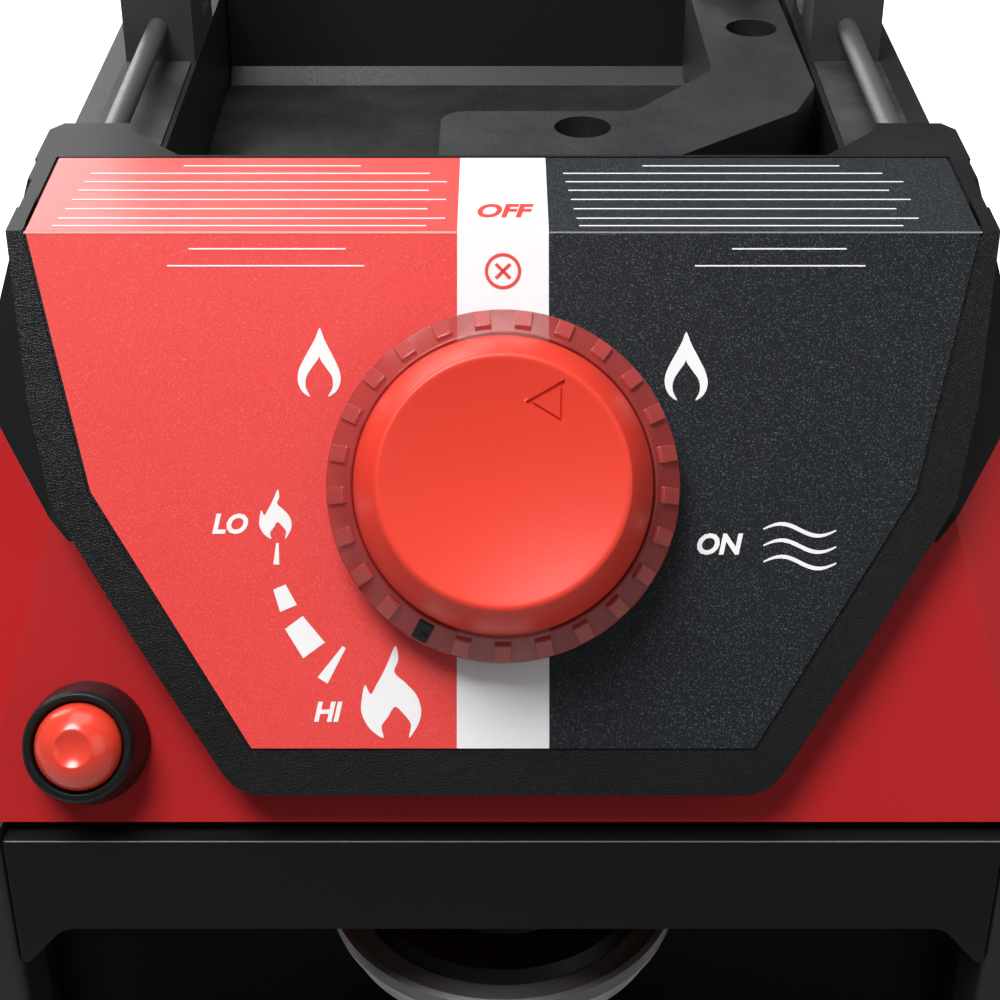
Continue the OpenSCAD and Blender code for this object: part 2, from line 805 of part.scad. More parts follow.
module bulkhead() color(dark_steel) {
  low = body_half_w - wall - 0.3;
  high = slope_x(bay_z) - 3.6;
  z1 = bay_z - sheet;
  difference() {
    along_y(-31.5, -30.3) polygon([[-low, tray_floor_z], [low, tray_floor_z], [low, floor_z - 2],
      [high, z1], [-high, z1], [-low, floor_z - 2]]);
    translate([45, 0, 323.3]) rotate([90, 0, 0]) cylinder(r = 4, h = 60);
    translate([pilot_x, 0, 323.3]) rotate([90, 0, 0]) cylinder(r = 4, h = 60);
    translate([-52, 0, 331]) rotate([90, 0, 0]) cylinder(r = 2.4, h = 60);
    translate([-igniter_u, 0, panel_point(0, igniter_v, -66).z]) rotate([90, 0, 0]) cylinder(r = 3, h = 60);
    // Air slots low down
    for (k = [0:4]) along_y(-40, 0) polygon(rounded(rect(-70, 30 + 14 * k, 70, 35 + 14 * k), 2.4));
  }
}

// Spring-steel clip that steadies the cylinder
module cylinder_clip() color(bright_steel) {
  at_regulator() translate([0, 0, 120]) {
    rotate([0, 0, -32]) rotate_extrude(angle = 244, $fn = 96) translate([50.6, 0]) square([1.4, 18]);
    translate([-12, 51.6, 0]) cube([24, 4.4, 18]);
  }
}

// ---------- accessory bay ----------

module side_rail() {
  along_y(rail_y0, frame_y0) polygon([
    [bay_half_w, bay_z], [bay_half_w + wall, bay_z], [bay_half_w + wall, rail_z - wall],
      [slope_x(rail_z - wall) - 3.2, rail_z - wall],
    [slope_x(bay_z) - 3.2, bay_z], [slope_x(bay_z), bay_z], [slope_x(rail_z), rail_z], [bay_half_w, rail_z]
  ]);
}

module side_rail_left() color(black_plastic) mirror([1, 0, 0]) side_rail();
module side_rail_right() color(black_plastic) side_rail();

// Bay floor of sheet metal, turned up at the rear
module heat_shield() color(dark_steel) {
  x = slope_x(bay_z) - 4;
  along_y(rail_y0, frame_y0 - 0.2) polygon(rect(-x, bay_z - sheet, x, bay_z));
  along_x(-bay_half_w + 0.2, bay_half_w - 0.2) polygon([
    [frame_y0 - 6, bay_z - 0.01], [frame_y0 - 0.2, bay_z - 0.01], [frame_y0 - 0.2, rail_z - 3],
      [frame_y0 - 0.2 - sheet, rail_z - 3],
    [frame_y0 - 0.2 - sheet, bay_z + 4]
  ]);
}

module post() {
  difference() {
    along_x(post_x0, post_x1) polygon(rounded([
      [post_y0, rail_z], [post_y1, rail_z], [post_y1 - 2, handle_z + 14],
      [handle_y - 14, handle_z + 14], [post_y0, handle_z - 12]
    ], [0, 0, 12, 12, 5]));
    translate([post_x0 - 1, handle_y, handle_z]) rotate([0, 90, 0]) cylinder(r = pivot_r + 0.02, h = 30);
    translate([rod_x, post_y0 + 12, rod_z]) rotate([90, 0, 0]) cylinder(r = rod_r + 0.05, h = 14);
    // Weight-saving pocket on the inner side
    along_x(post_x0 - 1, post_x0 + 9) polygon(rounded(rect(post_y0 + 17, rail_z + 5, post_y1 - 5, handle_z - 12), 4));
  }
}

module post_left() color(black_plastic) mirror([1, 0, 0]) post();
module post_right() color(black_plastic) post();

module guard_rods() color("#7e8183") {
  both_sides() translate([rod_x, post_y0 + 11.8, rod_z]) rotate([90, 0, 0])
    cylinder(r = rod_r, h = post_y0 + 11.8 - shoulder_y + 9.8, $fn = 48);
}

// Plan of the gas arm, grown inward by d
function arm_plan(d) = rounded(inset([
  [-13.7, rail_y0], [34, rail_y0], [34, -15], [66, 13.9], [72.2, 30], [70.3, arm_end.y + 11],
  [48.3, arm_end.y + 11], [49.3, 40.7], [29.7, 14.5], [-13.7, 14.5]
], d), [0, 0, 5, 6, 6, 9 - d, 9 - d, 9, 7, 6 - d]);

module arm_lower() color("#34373a") {
  difference() {
    union() {
      difference() {
        along_z(arm_bottom_z, arm_split_z) polygon(arm_plan(0));
        along_z(arm_bottom_z + arm_wall, arm_split_z + 1) polygon(arm_plan(arm_wall));
      }
      for (p = arm_wells) translate([p.x, p.y, bay_z]) cylinder(r = 5, h = arm_split_z - bay_z);
      translate([arm_end.x, arm_end.y, bay_z]) cylinder(r = 6, h = arm_bottom_z + 1 - bay_z);
    }
    for (p = arm_wells) translate([p.x, p.y, arm_bottom_z + 2]) cylinder(r = 1.55, h = 20);
    translate([10, -20, feed_z]) rotate([90, 0, 0]) cylinder(r = feed_r + 0.5, h = 20);
  }
}

module arm_upper() color("#34373a") {
  difference() {
    union() {
      difference() {
        along_z(arm_split_z, arm_z) polygon(arm_plan(0));
        along_z(arm_split_z - 1, arm_z - arm_wall) polygon(arm_plan(arm_wall));
      }
      for (p = arm_wells) translate([p.x, p.y, arm_split_z]) cylinder(r = 8, h = arm_z - arm_split_z);
    }
    for (p = arm_wells) translate([p.x, p.y, arm_split_z - 1]) {
      cylinder(r = 2.3, h = 20);
      translate([0, 0, 4.5]) cylinder(r = 6.3, h = 20);
    }
    translate([arm_end.x, arm_end.y, arm_split_z - 5]) cylinder(r = 7.6, h = 30);
  }
}

module arm_screws() color(bright_steel) {
  for (p = arm_wells) translate([p.x, p.y, 0]) {
    translate([0, 0, arm_bottom_z + 2.2]) cylinder(r = 1.5, h = 16);
    difference() {
      translate([0, 0, arm_split_z + 3.5]) cylinder(r = 4, h = 2.6);
      translate([-2.6, -0.45, arm_split_z + 4.8]) cube([5.2, 0.9, 2]);
      translate([-0.45, -2.6, arm_split_z + 4.8]) cube([0.9, 5.2, 2]);
    }
  }
}

// Gas tube from the valve through the arm to the socket
module feed_tube() color(copper) {
  start = panel_point(10, knob_v - 15.05, -28);
  rise = (feed_z - start.z) / cos(panel_tilt);
  x = 54.2;
  route = [
    start, [10, start.y + rise * sin(panel_tilt), feed_z], [10, -16, feed_z], [34, -5, feed_z],
    [x, 30, feed_z], [x, 82, feed_z], [arm_end.x, 90, feed_z], [arm_end.x, arm_end.y - 7.55, feed_z]
  ];
  wire(bent(route, 5), feed_r, 10);
}

module at_outlet() {
  translate([arm_end.x, arm_end.y, 0]) children();
}

// Quick-connect socket for an accessory
module outlet_socket() color(brass) {
  at_outlet() difference() {
    union() {
      translate([0, 0, arm_bottom_z + arm_wall]) cylinder(r = 7.5, h = arm_z - arm_bottom_z - arm_wall + 1);
      translate([0, 0, arm_z + 0.02]) cylinder(r = 8.5, h = 15);
      translate([0, 0, arm_z + 0.02]) cylinder(r = 10.5, h = 2);
      translate([0, 0, arm_z + 13.6]) cylinder(r = 9.4, h = 1.2);
    }
    translate([0, 0, arm_z + 1]) cylinder(r = 5, h = 20);
    translate([0, 0, arm_split_z]) cylinder(r = 2.5, h = 20);
  }
}

module outlet_sleeve() color(bright_steel) {
  at_outlet() rotate_extrude() polygon([
    [8.55, 376.4], [11.2, 376.4], [11.6, 377.4], [11.2, 378.4], [11.2, 380.4], [11.6, 381.4],
    [11.6, 383.2], [11, 384], [8.55, 384]
  ]);
}

// ---------- burner ----------

module face_frame() color(black_plastic) {
  hw = body_half_w;
  outline = rounded([
    [-hw, tray_top_z], [hw, tray_top_z], [hw, floor_z], [slope_x(rail_z), rail_z],
      [-slope_x(rail_z), rail_z], [-hw, floor_z]
  ], [4, 4, 12, 9, 9, 12]);
  difference() {
    along_y(frame_y0, frame_y1) polygon(outline);
    along_y(frame_y0 - 1, frame_y1 + 1)
      polygon(rounded(rect(-opening_half_w, opening_z0, opening_half_w, opening_z1), 9));
    // Stepped edge around the opening
    along_y(frame_y1 - 3, frame_y1 + 1)
      polygon(rounded(rect(-opening_half_w - 5, opening_z0 - 5, opening_half_w + 5, opening_z1 + 5), 12));
    // Air slots under the opening
    for (k = [-5:5]) along_y(frame_y0 - 1, frame_y1 + 1)
      polygon(rounded(rect(k * 15 - 4, 40, k * 15 + 4, 80), 3.9));
  }
}

// Polished box that is open to the front and flares above and below
module reflector() color(bright_steel) {
  x = opening_half_w - 2;
  y0 = 62;
  y1 = frame_y0 - 0.02;
  back0 = opening_z0 + 16;
  back1 = opening_z1 - 16;
  front0 = opening_z0 + 2;
  front1 = opening_z1 - 2;
  t = 1;
  difference() {
    union() {
      along_x(-x, x) polygon([[y0, back0], [y1, front0], [y1, front1], [y0, back1]]);
      // Flange behind the face frame
      along_y(y1 - t, y1) polygon(rounded(rect(-x - 6, front0 - 6, x + 6, front1 + 6), 4));
    }
    along_x(-x + t, x - t) polygon([
      [y0 + t, back0 + t], [y1 + 1, front0 + t - 0.2], [y1 + 1, front1 - t + 0.2], [y0 + t, back1 - t]
    ]);
    translate([mixer.x, mixer.y, 60]) cylinder(r = 9.6, h = 80);
    translate([pilot_x, pilot_y, 60]) cylinder(r = 3.4, h = 80);
    translate([pilot_x - 12, pilot_y, 60]) cylinder(r = 2.2, h = 80);
    translate([pilot_x + 12, pilot_y, 60]) cylinder(r = 3, h = 80);
  }
}

module burner_plenum() color("#77716a") {
  x = plaque_w / 2 + 3;
  z0 = plaque_mid_z - plaque_h - plaque_gap / 2 - 3;
  z1 = plaque_mid_z + plaque_h + plaque_gap / 2 + 3;
  difference() {
    union() {
      along_y(plenum_y0, plenum_y1) polygon(rounded(rect(-x, z0, x, z1), 6));
      for (sx = [-1, 1], sz = [z0 + 14, z1 - 14]) translate([sx * (x - 14), plenum_y0, sz]) rotate([90, 0, 0])
        cylinder(r = 4, h = plenum_y0 - 63);
    }
    along_y(plenum_y0 + 1.6, plenum_y1 + 1) polygon(rounded(rect(-x + 3, z0 + 3, x - 3, z1 - 3), 3));
    translate([mixer.x, mixer.y, z0 - 1]) cylinder(r = 9, h = 6);
  }
}

module ceramic_plaques() color(ceramic_tan) {
  for (s = [-1, 1]) translate([0, 0, plaque_mid_z + s * (plaque_h + plaque_gap) / 2])
    along_y(plenum_y1 + 0.02, plenum_y1 + 12) polygon(rect(-plaque_w / 2, -plaque_h / 2, plaque_w / 2, plaque_h / 2));
}

// Steel frame that holds both plaques on the plenum
module plaque_frame() color("#6b6c6e") {
  x = plaque_w / 2;
  z0 = plaque_mid_z - plaque_h - plaque_gap / 2;
  z1 = plaque_mid_z + plaque_h + plaque_gap / 2;
  y1 = plenum_y1 + 12;
  difference() {
    union() {
      along_y(y1 + 0.02, y1 + 1.4) polygon(rounded(rect(-x - 4.5, z0 - 4.5, x + 4.5, z1 + 4.5), 5));
      difference() {
        along_y(plenum_y1 - 4, y1 + 0.5) polygon(rounded(rect(-x - 4.5, z0 - 4.5, x + 4.5, z1 + 4.5), 5));
        along_y(plenum_y1 - 5, y1 + 1) polygon(rounded(rect(-x - 3.2, z0 - 3.2, x + 3.2, z1 + 3.2), 6));
      }
    }
    for (s = [-1, 1]) translate([0, 0, plaque_mid_z + s * (plaque_h + plaque_gap) / 2])
      along_y(y1 - 1, y1 + 3) polygon(rounded(rect(-x + 3, -plaque_h / 2 + 3, x - 3, plaque_h / 2 - 3), 3));
  }
}

// Venturi under the plenum
module mixing_tube() color(bright_steel) {
  z1 = plaque_mid_z - plaque_h - plaque_gap / 2 - 3;
  translate([mixer.x, mixer.y, 0]) rotate_extrude() polygon([
    [12.2, 60], [13, 61], [7.5, 78], [7.5, 84], [8.9, z1 - 4], [8.9, z1 + 3], [7.9, z1 + 3],
      [7.9, z1 - 4], [6.5, 84], [6.5, 78]
  ]);
}

module main_orifice() color(brass) {
  translate([mixer.x, mixer.y, 0]) difference() {
    union() {
      translate([0, 0, 40]) cylinder(r = 6, h = 9, $fn = 6);
      translate([0, 0, 49]) cylinder(r = 3.6, h = 9);
    }
    translate([0, 0, 39]) cylinder(r = 2.5, h = 16);
    translate([0, 0, 50]) cylinder(r = 0.6, h = 12);
  }
}

module burner_tube() color(copper) {
  valve_side = panel_point(20, knob_v, -30);
  z = valve_side.z;
  x = mixer.x;
  route = [valve_side, [x, valve_side.y, z], [x, 20, z], [x, 20, 30], [x, mixer.y, 30], [x, mixer.y, 39.9]];
  wire(bent(route, 8), 3, 10);
}

module pilot_tube() color(copper) {
  valve_side = panel_point(-20, knob_v, -30);
  z = valve_side.z;
  x = pilot_x;
  route = [valve_side, [x, valve_side.y, z], [x, 20, z], [x, 20, 56], [x, pilot_y, 56], [x, pilot_y, 106.9]];
  wire(bent(route, 8), 2.5, 10);
}

// Pilot head on a folded bracket, in front of the lower plaque
module pilot_burner() color(bright_steel) {
  z = 104;
  y = plenum_y1 + 13.42;
  difference() {
    union() {
      translate([pilot_x - 18, y, z]) cube([36, 1.2, 16]);
      translate([pilot_x - 18, y, z]) cube([36, 13, 1.2]);
      translate([pilot_x, pilot_y, z]) cylinder(r = 4, h = 16);
      translate([pilot_x, pilot_y, z + 14]) cylinder(r = 5.4, h = 7);
    }
    translate([pilot_x, pilot_y, z - 1]) cylinder(r = 2.52, h = 4);
    translate([pilot_x, pilot_y, z + 17]) cylinder(r = 4.2, h = 6);
    translate([pilot_x - 12, pilot_y, z - 1]) cylinder(r = 1.65, h = 5);
    translate([pilot_x + 12, pilot_y, z - 1]) cylinder(r = 2.55, h = 5);
  }
}

module thermocouple() color(copper) {
  x = pilot_x - 12;
  translate([x, pilot_y, 96]) cylinder(r = 1.6, h = 34);
  route = [[x, pilot_y, 96.4], [x, pilot_y, 82], [x, 8, 82], [x, 8, 331], [x, -62, 331], [-20, -62, 331]];
  wire(bent(route, 6), 1.2, 8);
}

module electrode() color("#efe9dc") {
  x = pilot_x + 12;
  translate([x, pilot_y, 97]) cylinder(r = 2.5, h = 22);
  translate([x, pilot_y, 118]) cylinder(r = 0.8, h = 8);
}

// Welded guard before the plaques: frame, uprights and cross wires
module wire_guard() color(bright_steel) {
  x = opening_half_w + 2;
  z0 = opening_z0 - 2;
  z1 = opening_z1 + 2;
  y = 138;
  pipe([[0, y, z0], [x, y, z0], [x, y, z1], [-x, y, z1], [-x, y, z0], [0, y, z0]], 2, 8);
  for (k = [-6:6]) translate([k * 12, y, z0]) cylinder(r = 1.1, h = z1 - z0, $fn = 32);
  for (k = [1:3]) translate([-x, y - 1.8, z0 + k * (z1 - z0) / 4]) rotate([0, 90, 0]) cylinder(r = 1.3, h = 2 * x, $fn = 32);
  for (sx = [-1, 1], z = [z0 + 30, z1 - 30]) translate([sx * x, y, z]) rotate([90, 0, 0])
    cylinder(r = 1.7, h = y - frame_y1 + 3, $fn = 32);
}

// ---------- handle ----------

// Children in the handle's own frame: pivot at the origin, grip straight up
module in_handle() {
  translate([0, handle_y, handle_z]) rotate([-handle_lean, 0, 0]) children();
}

module handle_bail() color(dark_steel) {
  x0 = post_x1 + 0.6;
  t = 4;
  in_handle() {
    both_sides() difference() {
      union() {
        translate([x0, 0, 0]) rotate([0, 90, 0]) cylinder(r = 9.5, h = t);
        along_x(x0, x0 + t) polygon(rounded([[-6.5, 0], [6.5, 0], [5.5, handle_reach + 6],
          [-5.5, handle_reach + 6]], [0, 0, 4, 4]));
      }
      translate([x0 - 1, 0, 0]) rotate([0, 90, 0]) cylinder(r = pivot_r + 0.08, h = t + 2);
    }
    translate([-x0 - 1, 0, handle_reach]) rotate([0, 90, 0]) cylinder(r = 4, h = 2 * x0 + 2);
  }
}

// Soft grip with shallow finger grooves
module handle_grip() color(rubber_black) {
  half = 62;
  profile = concat(
    [for (k = [-20:20]) [grip_r(k * half / 21), k * half / 21]],
    [[10.5, half], [4.03, half], [4.03, -half], [10.5, -half]]
  );
  in_handle() translate([0, 0, handle_reach]) rotate([0, 90, 0]) rotate_extrude($fn = 40) polygon(profile);
}

module handle_pins() color(bright_steel) {
  both_sides() translate([0, handle_y, handle_z]) rotate([0, 90, 0]) {
    translate([0, 0, post_x0 + 3]) cylinder(r = pivot_r, h = post_x1 + 5 - post_x0 - 3);
    translate([0, 0, post_x1 + 4.9]) cylinder(r = 8, h = 2.6);
  }
}

// Tip-over switch on the tray's floor
module tip_switch() color("#d8d8d2") {
  translate([-96, 60, tray_floor_z]) cube([24, 16, 18]);
  for (x = [-91, -80]) translate([x, 67, tray_floor_z + 18]) cube([3, 1, 8]);
}

base_tray();
rubber_feet();
side_panel_left();
side_panel_right();
front_apron();
bulkhead();
cylinder_clip();
regulator_bracket();
regulator_body();
regulator_cover();
regulator_inlet();
inlet_seal();
supply_tube();
lower_housing();
upper_housing();
housing_screws();
side_caps();
control_label();
valve_body();
valve_nut();
valve_rotor();
valve_stem();
knob_spring();
knob_cap();
knob_skirt();
igniter_collar();
igniter_body();
igniter_spring();
igniter_button();
igniter_lead();
side_rail_left();
side_rail_right();
heat_shield();
post_left();
post_right();
guard_rods();
arm_lower();
arm_upper();
arm_screws();
feed_tube();
outlet_socket();
outlet_sleeve();
face_frame();
reflector();
burner_plenum();
ceramic_plaques();
plaque_frame();
mixing_tube();
main_orifice();
burner_tube();
pilot_burner();
pilot_tube();
thermocouple();
electrode();
wire_guard();
handle_bail();
handle_grip();
handle_pins();
tip_switch();
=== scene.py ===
"""Dressed model of a portable propane heater with a knob panel and a radiant burner.

Every length is in metres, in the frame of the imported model: +Z up, the controls face -Y.
Only the printed label is laid out in millimetres, as its methods say.
"""

from __future__ import annotations

import logging
import math
from dataclasses import dataclass, field
from enum import Enum
from typing import Callable, Iterable, Sequence

import bmesh  # noqa: E402
import bpy  # noqa: E402
from mathutils import Matrix, Vector  # noqa: E402


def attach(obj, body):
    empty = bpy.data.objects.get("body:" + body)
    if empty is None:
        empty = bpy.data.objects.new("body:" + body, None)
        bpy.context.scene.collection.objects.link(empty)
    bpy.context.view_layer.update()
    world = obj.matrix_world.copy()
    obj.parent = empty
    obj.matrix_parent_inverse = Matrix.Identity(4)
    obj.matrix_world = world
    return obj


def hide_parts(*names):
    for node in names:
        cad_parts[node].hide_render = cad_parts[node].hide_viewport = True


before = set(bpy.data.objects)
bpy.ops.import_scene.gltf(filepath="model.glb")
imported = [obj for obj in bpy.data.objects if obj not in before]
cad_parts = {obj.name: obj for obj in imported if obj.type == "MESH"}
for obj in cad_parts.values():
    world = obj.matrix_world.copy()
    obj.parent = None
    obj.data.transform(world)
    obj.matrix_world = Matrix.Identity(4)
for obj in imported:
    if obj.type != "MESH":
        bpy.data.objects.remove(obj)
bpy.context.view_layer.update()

LOG = logging.getLogger("heater")
MM = 0.001
FULL_TURN = 2 * math.pi

Colour = tuple[float, float, float]
Point2 = tuple[float, float]
Point3 = tuple[float, float, float]


# ---------------------------------------------------------------- finishes


class Grain(Enum):
    """Surface texture of a finish: its node group, and the group's scale for a grain of one metre."""

    FINE = ("fine", 1.0)
    LEATHER = ("leather", 1.0)
    BRUSHED = ("fine", 0.6)
    CAST = ("cast", 1.0)
    SPARK = ("spark", 1.0)


@dataclass(frozen=True)
class Finish:
    """One material: its colours, gloss and texture."""

    name: str
    colour: Colour
    second: Colour
    roughness: float
    grain: Grain = Grain.FINE
    grain_size: float = 0.0006
    relief: float = 0.25
    depth: float = 0.0002
    metallic: float = 0.0
    coat: float = 0.0
    coat_roughness: float = 0.2
    dust: float = 0.1
    spread: float = 0.35
    subsurface: float = 0.0
    specular: float = 0.5
    alpha: float = 1.0


BLACK_MATTE = Finish("black_matte", (0.0095, 0.010, 0.011), (0.015, 0.0155, 0.0165), 0.48, Grain.FINE,
                     0.0005, 0.30, dust=0.06, specular=0.30)
# Painted light: the posts' black is lightened to stand in for light on their unlit front faces.
POST_BLACK_PAINTED_LIGHT = Finish("post_black_painted_light", (0.044, 0.045, 0.046), (0.056, 0.057, 0.058), 0.50, specular=0.45)
STRIP_BLACK = Finish("strip_black", (0.020, 0.020, 0.0195), (0.036, 0.035, 0.033), 0.62, Grain.CAST,
                     0.0007, 0.45, dust=0.35, specular=0.30)
BLACK_GRAIN = Finish("black_grain", (0.0050, 0.0052, 0.0056), (0.0090, 0.0093, 0.0100), 0.42,
                     Grain.LEATHER, 0.0005, 0.28, dust=0.03, spread=0.4, specular=0.20)
BLACK_SATIN = Finish("black_satin", (0.006, 0.006, 0.0065), (0.010, 0.010, 0.0105), 0.38, Grain.FINE,
                     0.0004, 0.12, dust=0.06, specular=0.22)
BAND_BLACK = Finish("band_black", (0.0062, 0.0062, 0.0064), (0.0095, 0.0095, 0.0098), 0.44, Grain.FINE,
                    0.0005, 0.15, dust=0.0, specular=0.10)
# Near-black; on the bulkhead it is painted shade under the band.
DEEP_BLACK = Finish("deep_black", (0.0030, 0.0030, 0.0031), (0.0050, 0.0050, 0.0052), 0.55, Grain.CAST,
                    0.0009, 0.15, dust=0.0, specular=0.08)
RED_SHELL = Finish("red_shell", (0.44, 0.012, 0.014), (0.34, 0.008, 0.010), 0.38, Grain.FINE,
                   0.0006, 0.10, dust=0.02, specular=0.30)
KNOB_RED = Finish("knob_red", (0.80, 0.050, 0.026), (0.70, 0.040, 0.022), 0.40, Grain.FINE,
                  0.0004, 0.10, dust=0.0, subsurface=0.03, specular=0.40)
BUTTON_RED = Finish("button_red", (0.78, 0.055, 0.028), (0.68, 0.042, 0.022), 0.26, Grain.FINE,
                    0.0004, 0.06, coat=0.3, coat_roughness=0.15, dust=0.0, subsurface=0.03)
SMOKY_RED = Finish("smoky_red", (0.44, 0.054, 0.048), (0.34, 0.038, 0.036), 0.22, Grain.FINE,
                   0.0008, 0.06, coat=0.4, coat_roughness=0.12, dust=0.0, alpha=0.62)
# Painted highlight: a lighter copy of the skirt's smoky red, for its lugs.
SMOKY_RED_PAINTED_HIGHLIGHT = Finish("smoky_red_painted_highlight", (0.50, 0.068, 0.060), (0.40, 0.050, 0.046), 0.22, Grain.FINE,
                     0.0008, 0.06, coat=0.5, coat_roughness=0.10, dust=0.0, alpha=0.80)
DARK_STEEL = Finish("dark_steel", (0.018, 0.019, 0.020), (0.033, 0.034, 0.035), 0.38, Grain.CAST,
                    0.0008, dust=0.14)
ARM_PAINT = Finish("arm_paint", (0.014, 0.015, 0.017), (0.022, 0.023, 0.026), 0.42, Grain.CAST,
                   0.0006, 0.22, dust=0.12)
SHIELD_PAINT = Finish("shield_paint", (0.013, 0.0135, 0.0137), (0.020, 0.0205, 0.021), 0.42, Grain.CAST,
                      0.0009, 0.15, dust=0.12, specular=0.30)
BURNER_PAINT = Finish("burner_paint", (0.11, 0.10, 0.092), (0.20, 0.17, 0.14), 0.62, Grain.CAST,
                      0.0012, 0.5, metallic=0.4, dust=0.2)
BRIGHT_STEEL = Finish("bright_steel", (0.58, 0.58, 0.59), (0.46, 0.46, 0.47), 0.26, Grain.BRUSHED,
                      0.0006, 0.15, metallic=1.0)
ROD_STEEL = Finish("rod_steel", (0.16, 0.165, 0.165), (0.12, 0.124, 0.124), 0.52, Grain.BRUSHED,
                   0.0007, 0.15, metallic=0.75)
GUARD_STEEL = Finish("guard_steel", (0.66, 0.66, 0.66), (0.52, 0.52, 0.53), 0.20, Grain.BRUSHED,
                     0.0008, 0.1, metallic=1.0, dust=0.05)
MIRROR_STEEL = Finish("mirror_steel", (0.72, 0.72, 0.71), (0.60, 0.58, 0.55), 0.16, Grain.BRUSHED,
                      0.0010, 0.08, metallic=1.0, dust=0.08)
CAST_GREY = Finish("cast_grey", (0.36, 0.37, 0.38), (0.27, 0.28, 0.29), 0.42, Grain.CAST,
                   0.0009, 0.4, metallic=0.9)
ZINC_STEEL = Finish("zinc_steel", (0.33, 0.335, 0.33), (0.20, 0.205, 0.21), 0.28, Grain.BRUSHED,
                    0.0006, 0.2, metallic=1.0, dust=0.12)
COVER_STEEL = Finish("cover_steel", (0.20, 0.20, 0.195), (0.13, 0.13, 0.125), 0.44, Grain.BRUSHED,
                     0.0006, 0.2, metallic=0.6, dust=0.04, specular=0.3)
BRASS = Finish("brass", (0.72, 0.50, 0.19), (0.56, 0.37, 0.13), 0.28, Grain.BRUSHED,
               0.0005, 0.12, metallic=1.0, dust=0.05)
COPPER = Finish("copper", (0.70, 0.36, 0.20), (0.50, 0.24, 0.13), 0.30, Grain.BRUSHED,
                0.0008, 0.1, metallic=1.0, dust=0.08)
# Painted highlight: a lighter grey for the thin line on the band's top edge.
EDGE_PAINTED_HIGHLIGHT = Finish("edge_painted_highlight", (0.16, 0.165, 0.165), (0.05, 0.05, 0.05), 0.40, Grain.FINE,
                   0.0008, 0.1, dust=0.0, spread=0.8)
RUBBER = Finish("rubber", (0.017, 0.017, 0.018), (0.030, 0.030, 0.031), 0.62, Grain.LEATHER,
                0.0009, 0.5, dust=0.2)
PORCELAIN = Finish("porcelain", (0.78, 0.74, 0.66), (0.66, 0.60, 0.50), 0.30, Grain.FINE,
                   0.0010, 0.1, coat=0.5, coat_roughness=0.1)
SWITCH_GREY = Finish("switch_grey", (0.52, 0.52, 0.49), (0.44, 0.44, 0.41), 0.45, Grain.FINE,
                     0.0006, 0.15, dust=0.15)
BURNER_CLAY = Finish("burner_clay", (0.74, 0.62, 0.44), (0.62, 0.49, 0.33), 0.82, Grain.FINE,
                     0.0008, 0.9, depth=0.0006, dust=0.0)
LABEL_FILM = Finish("label_film", (0.72, 0.050, 0.046), (0.80, 0.095, 0.085), 0.36, Grain.SPARK,
                    0.00030, 0.22, depth=0.00008, dust=0.0, specular=0.35)
PRINT_WHITE = Finish("print_white", (0.86, 0.85, 0.85), (0.80, 0.79, 0.79), 0.42, Grain.FINE,
                     0.0004, 0.12, dust=0.02)
# Painted highlight, not ink: the pale line along the label's fold on the red half.
PAINTED_HIGHLIGHT_PALE = Finish("painted_highlight_pale", (0.86, 0.42, 0.38), (0.80, 0.36, 0.32), 0.30, Grain.FINE,
                    0.0004, 0.10, dust=0.0)
# Painted highlight, not ink: the grey line along the label's fold on the dark half.
PAINTED_HIGHLIGHT_GREY = Finish("painted_highlight_grey", (0.30, 0.31, 0.32), (0.22, 0.225, 0.235), 0.30, Grain.FINE,
                    0.0004, 0.10, dust=0.0)
PRINT_RED = Finish("print_red", (0.74, 0.05, 0.04), (0.66, 0.04, 0.03), 0.42, Grain.FINE,
                   0.0004, 0.12, dust=0.02)

DUST_COLOUR: Colour = (0.30, 0.29, 0.27)
UNDER_SKIN: Point3 = (0.003, 0.0008, 0.0005)


@dataclass(frozen=True)
class FilmInks:
    """Colours of the label's film, beside the red of its finish. The ledge's red, and the dark speck colour
    where it lightens the ledge, are painted light.
    """

    red_speck: Colour = (0.86, 0.20, 0.17)
    # Painted light: a lighter red for the film on the upward-facing ledge.
    red_ledge_painted_light: Colour = (0.86, 0.16, 0.13)
    dark: Colour = (0.010, 0.012, 0.015)
    # Speck colour of the dark half, also mixed in as painted light on the ledge.
    dark_speck_and_painted_light: Colour = (0.10, 0.11, 0.12)
    white: Colour = (0.84, 0.83, 0.84)
    white_speck: Colour = (0.74, 0.73, 0.74)


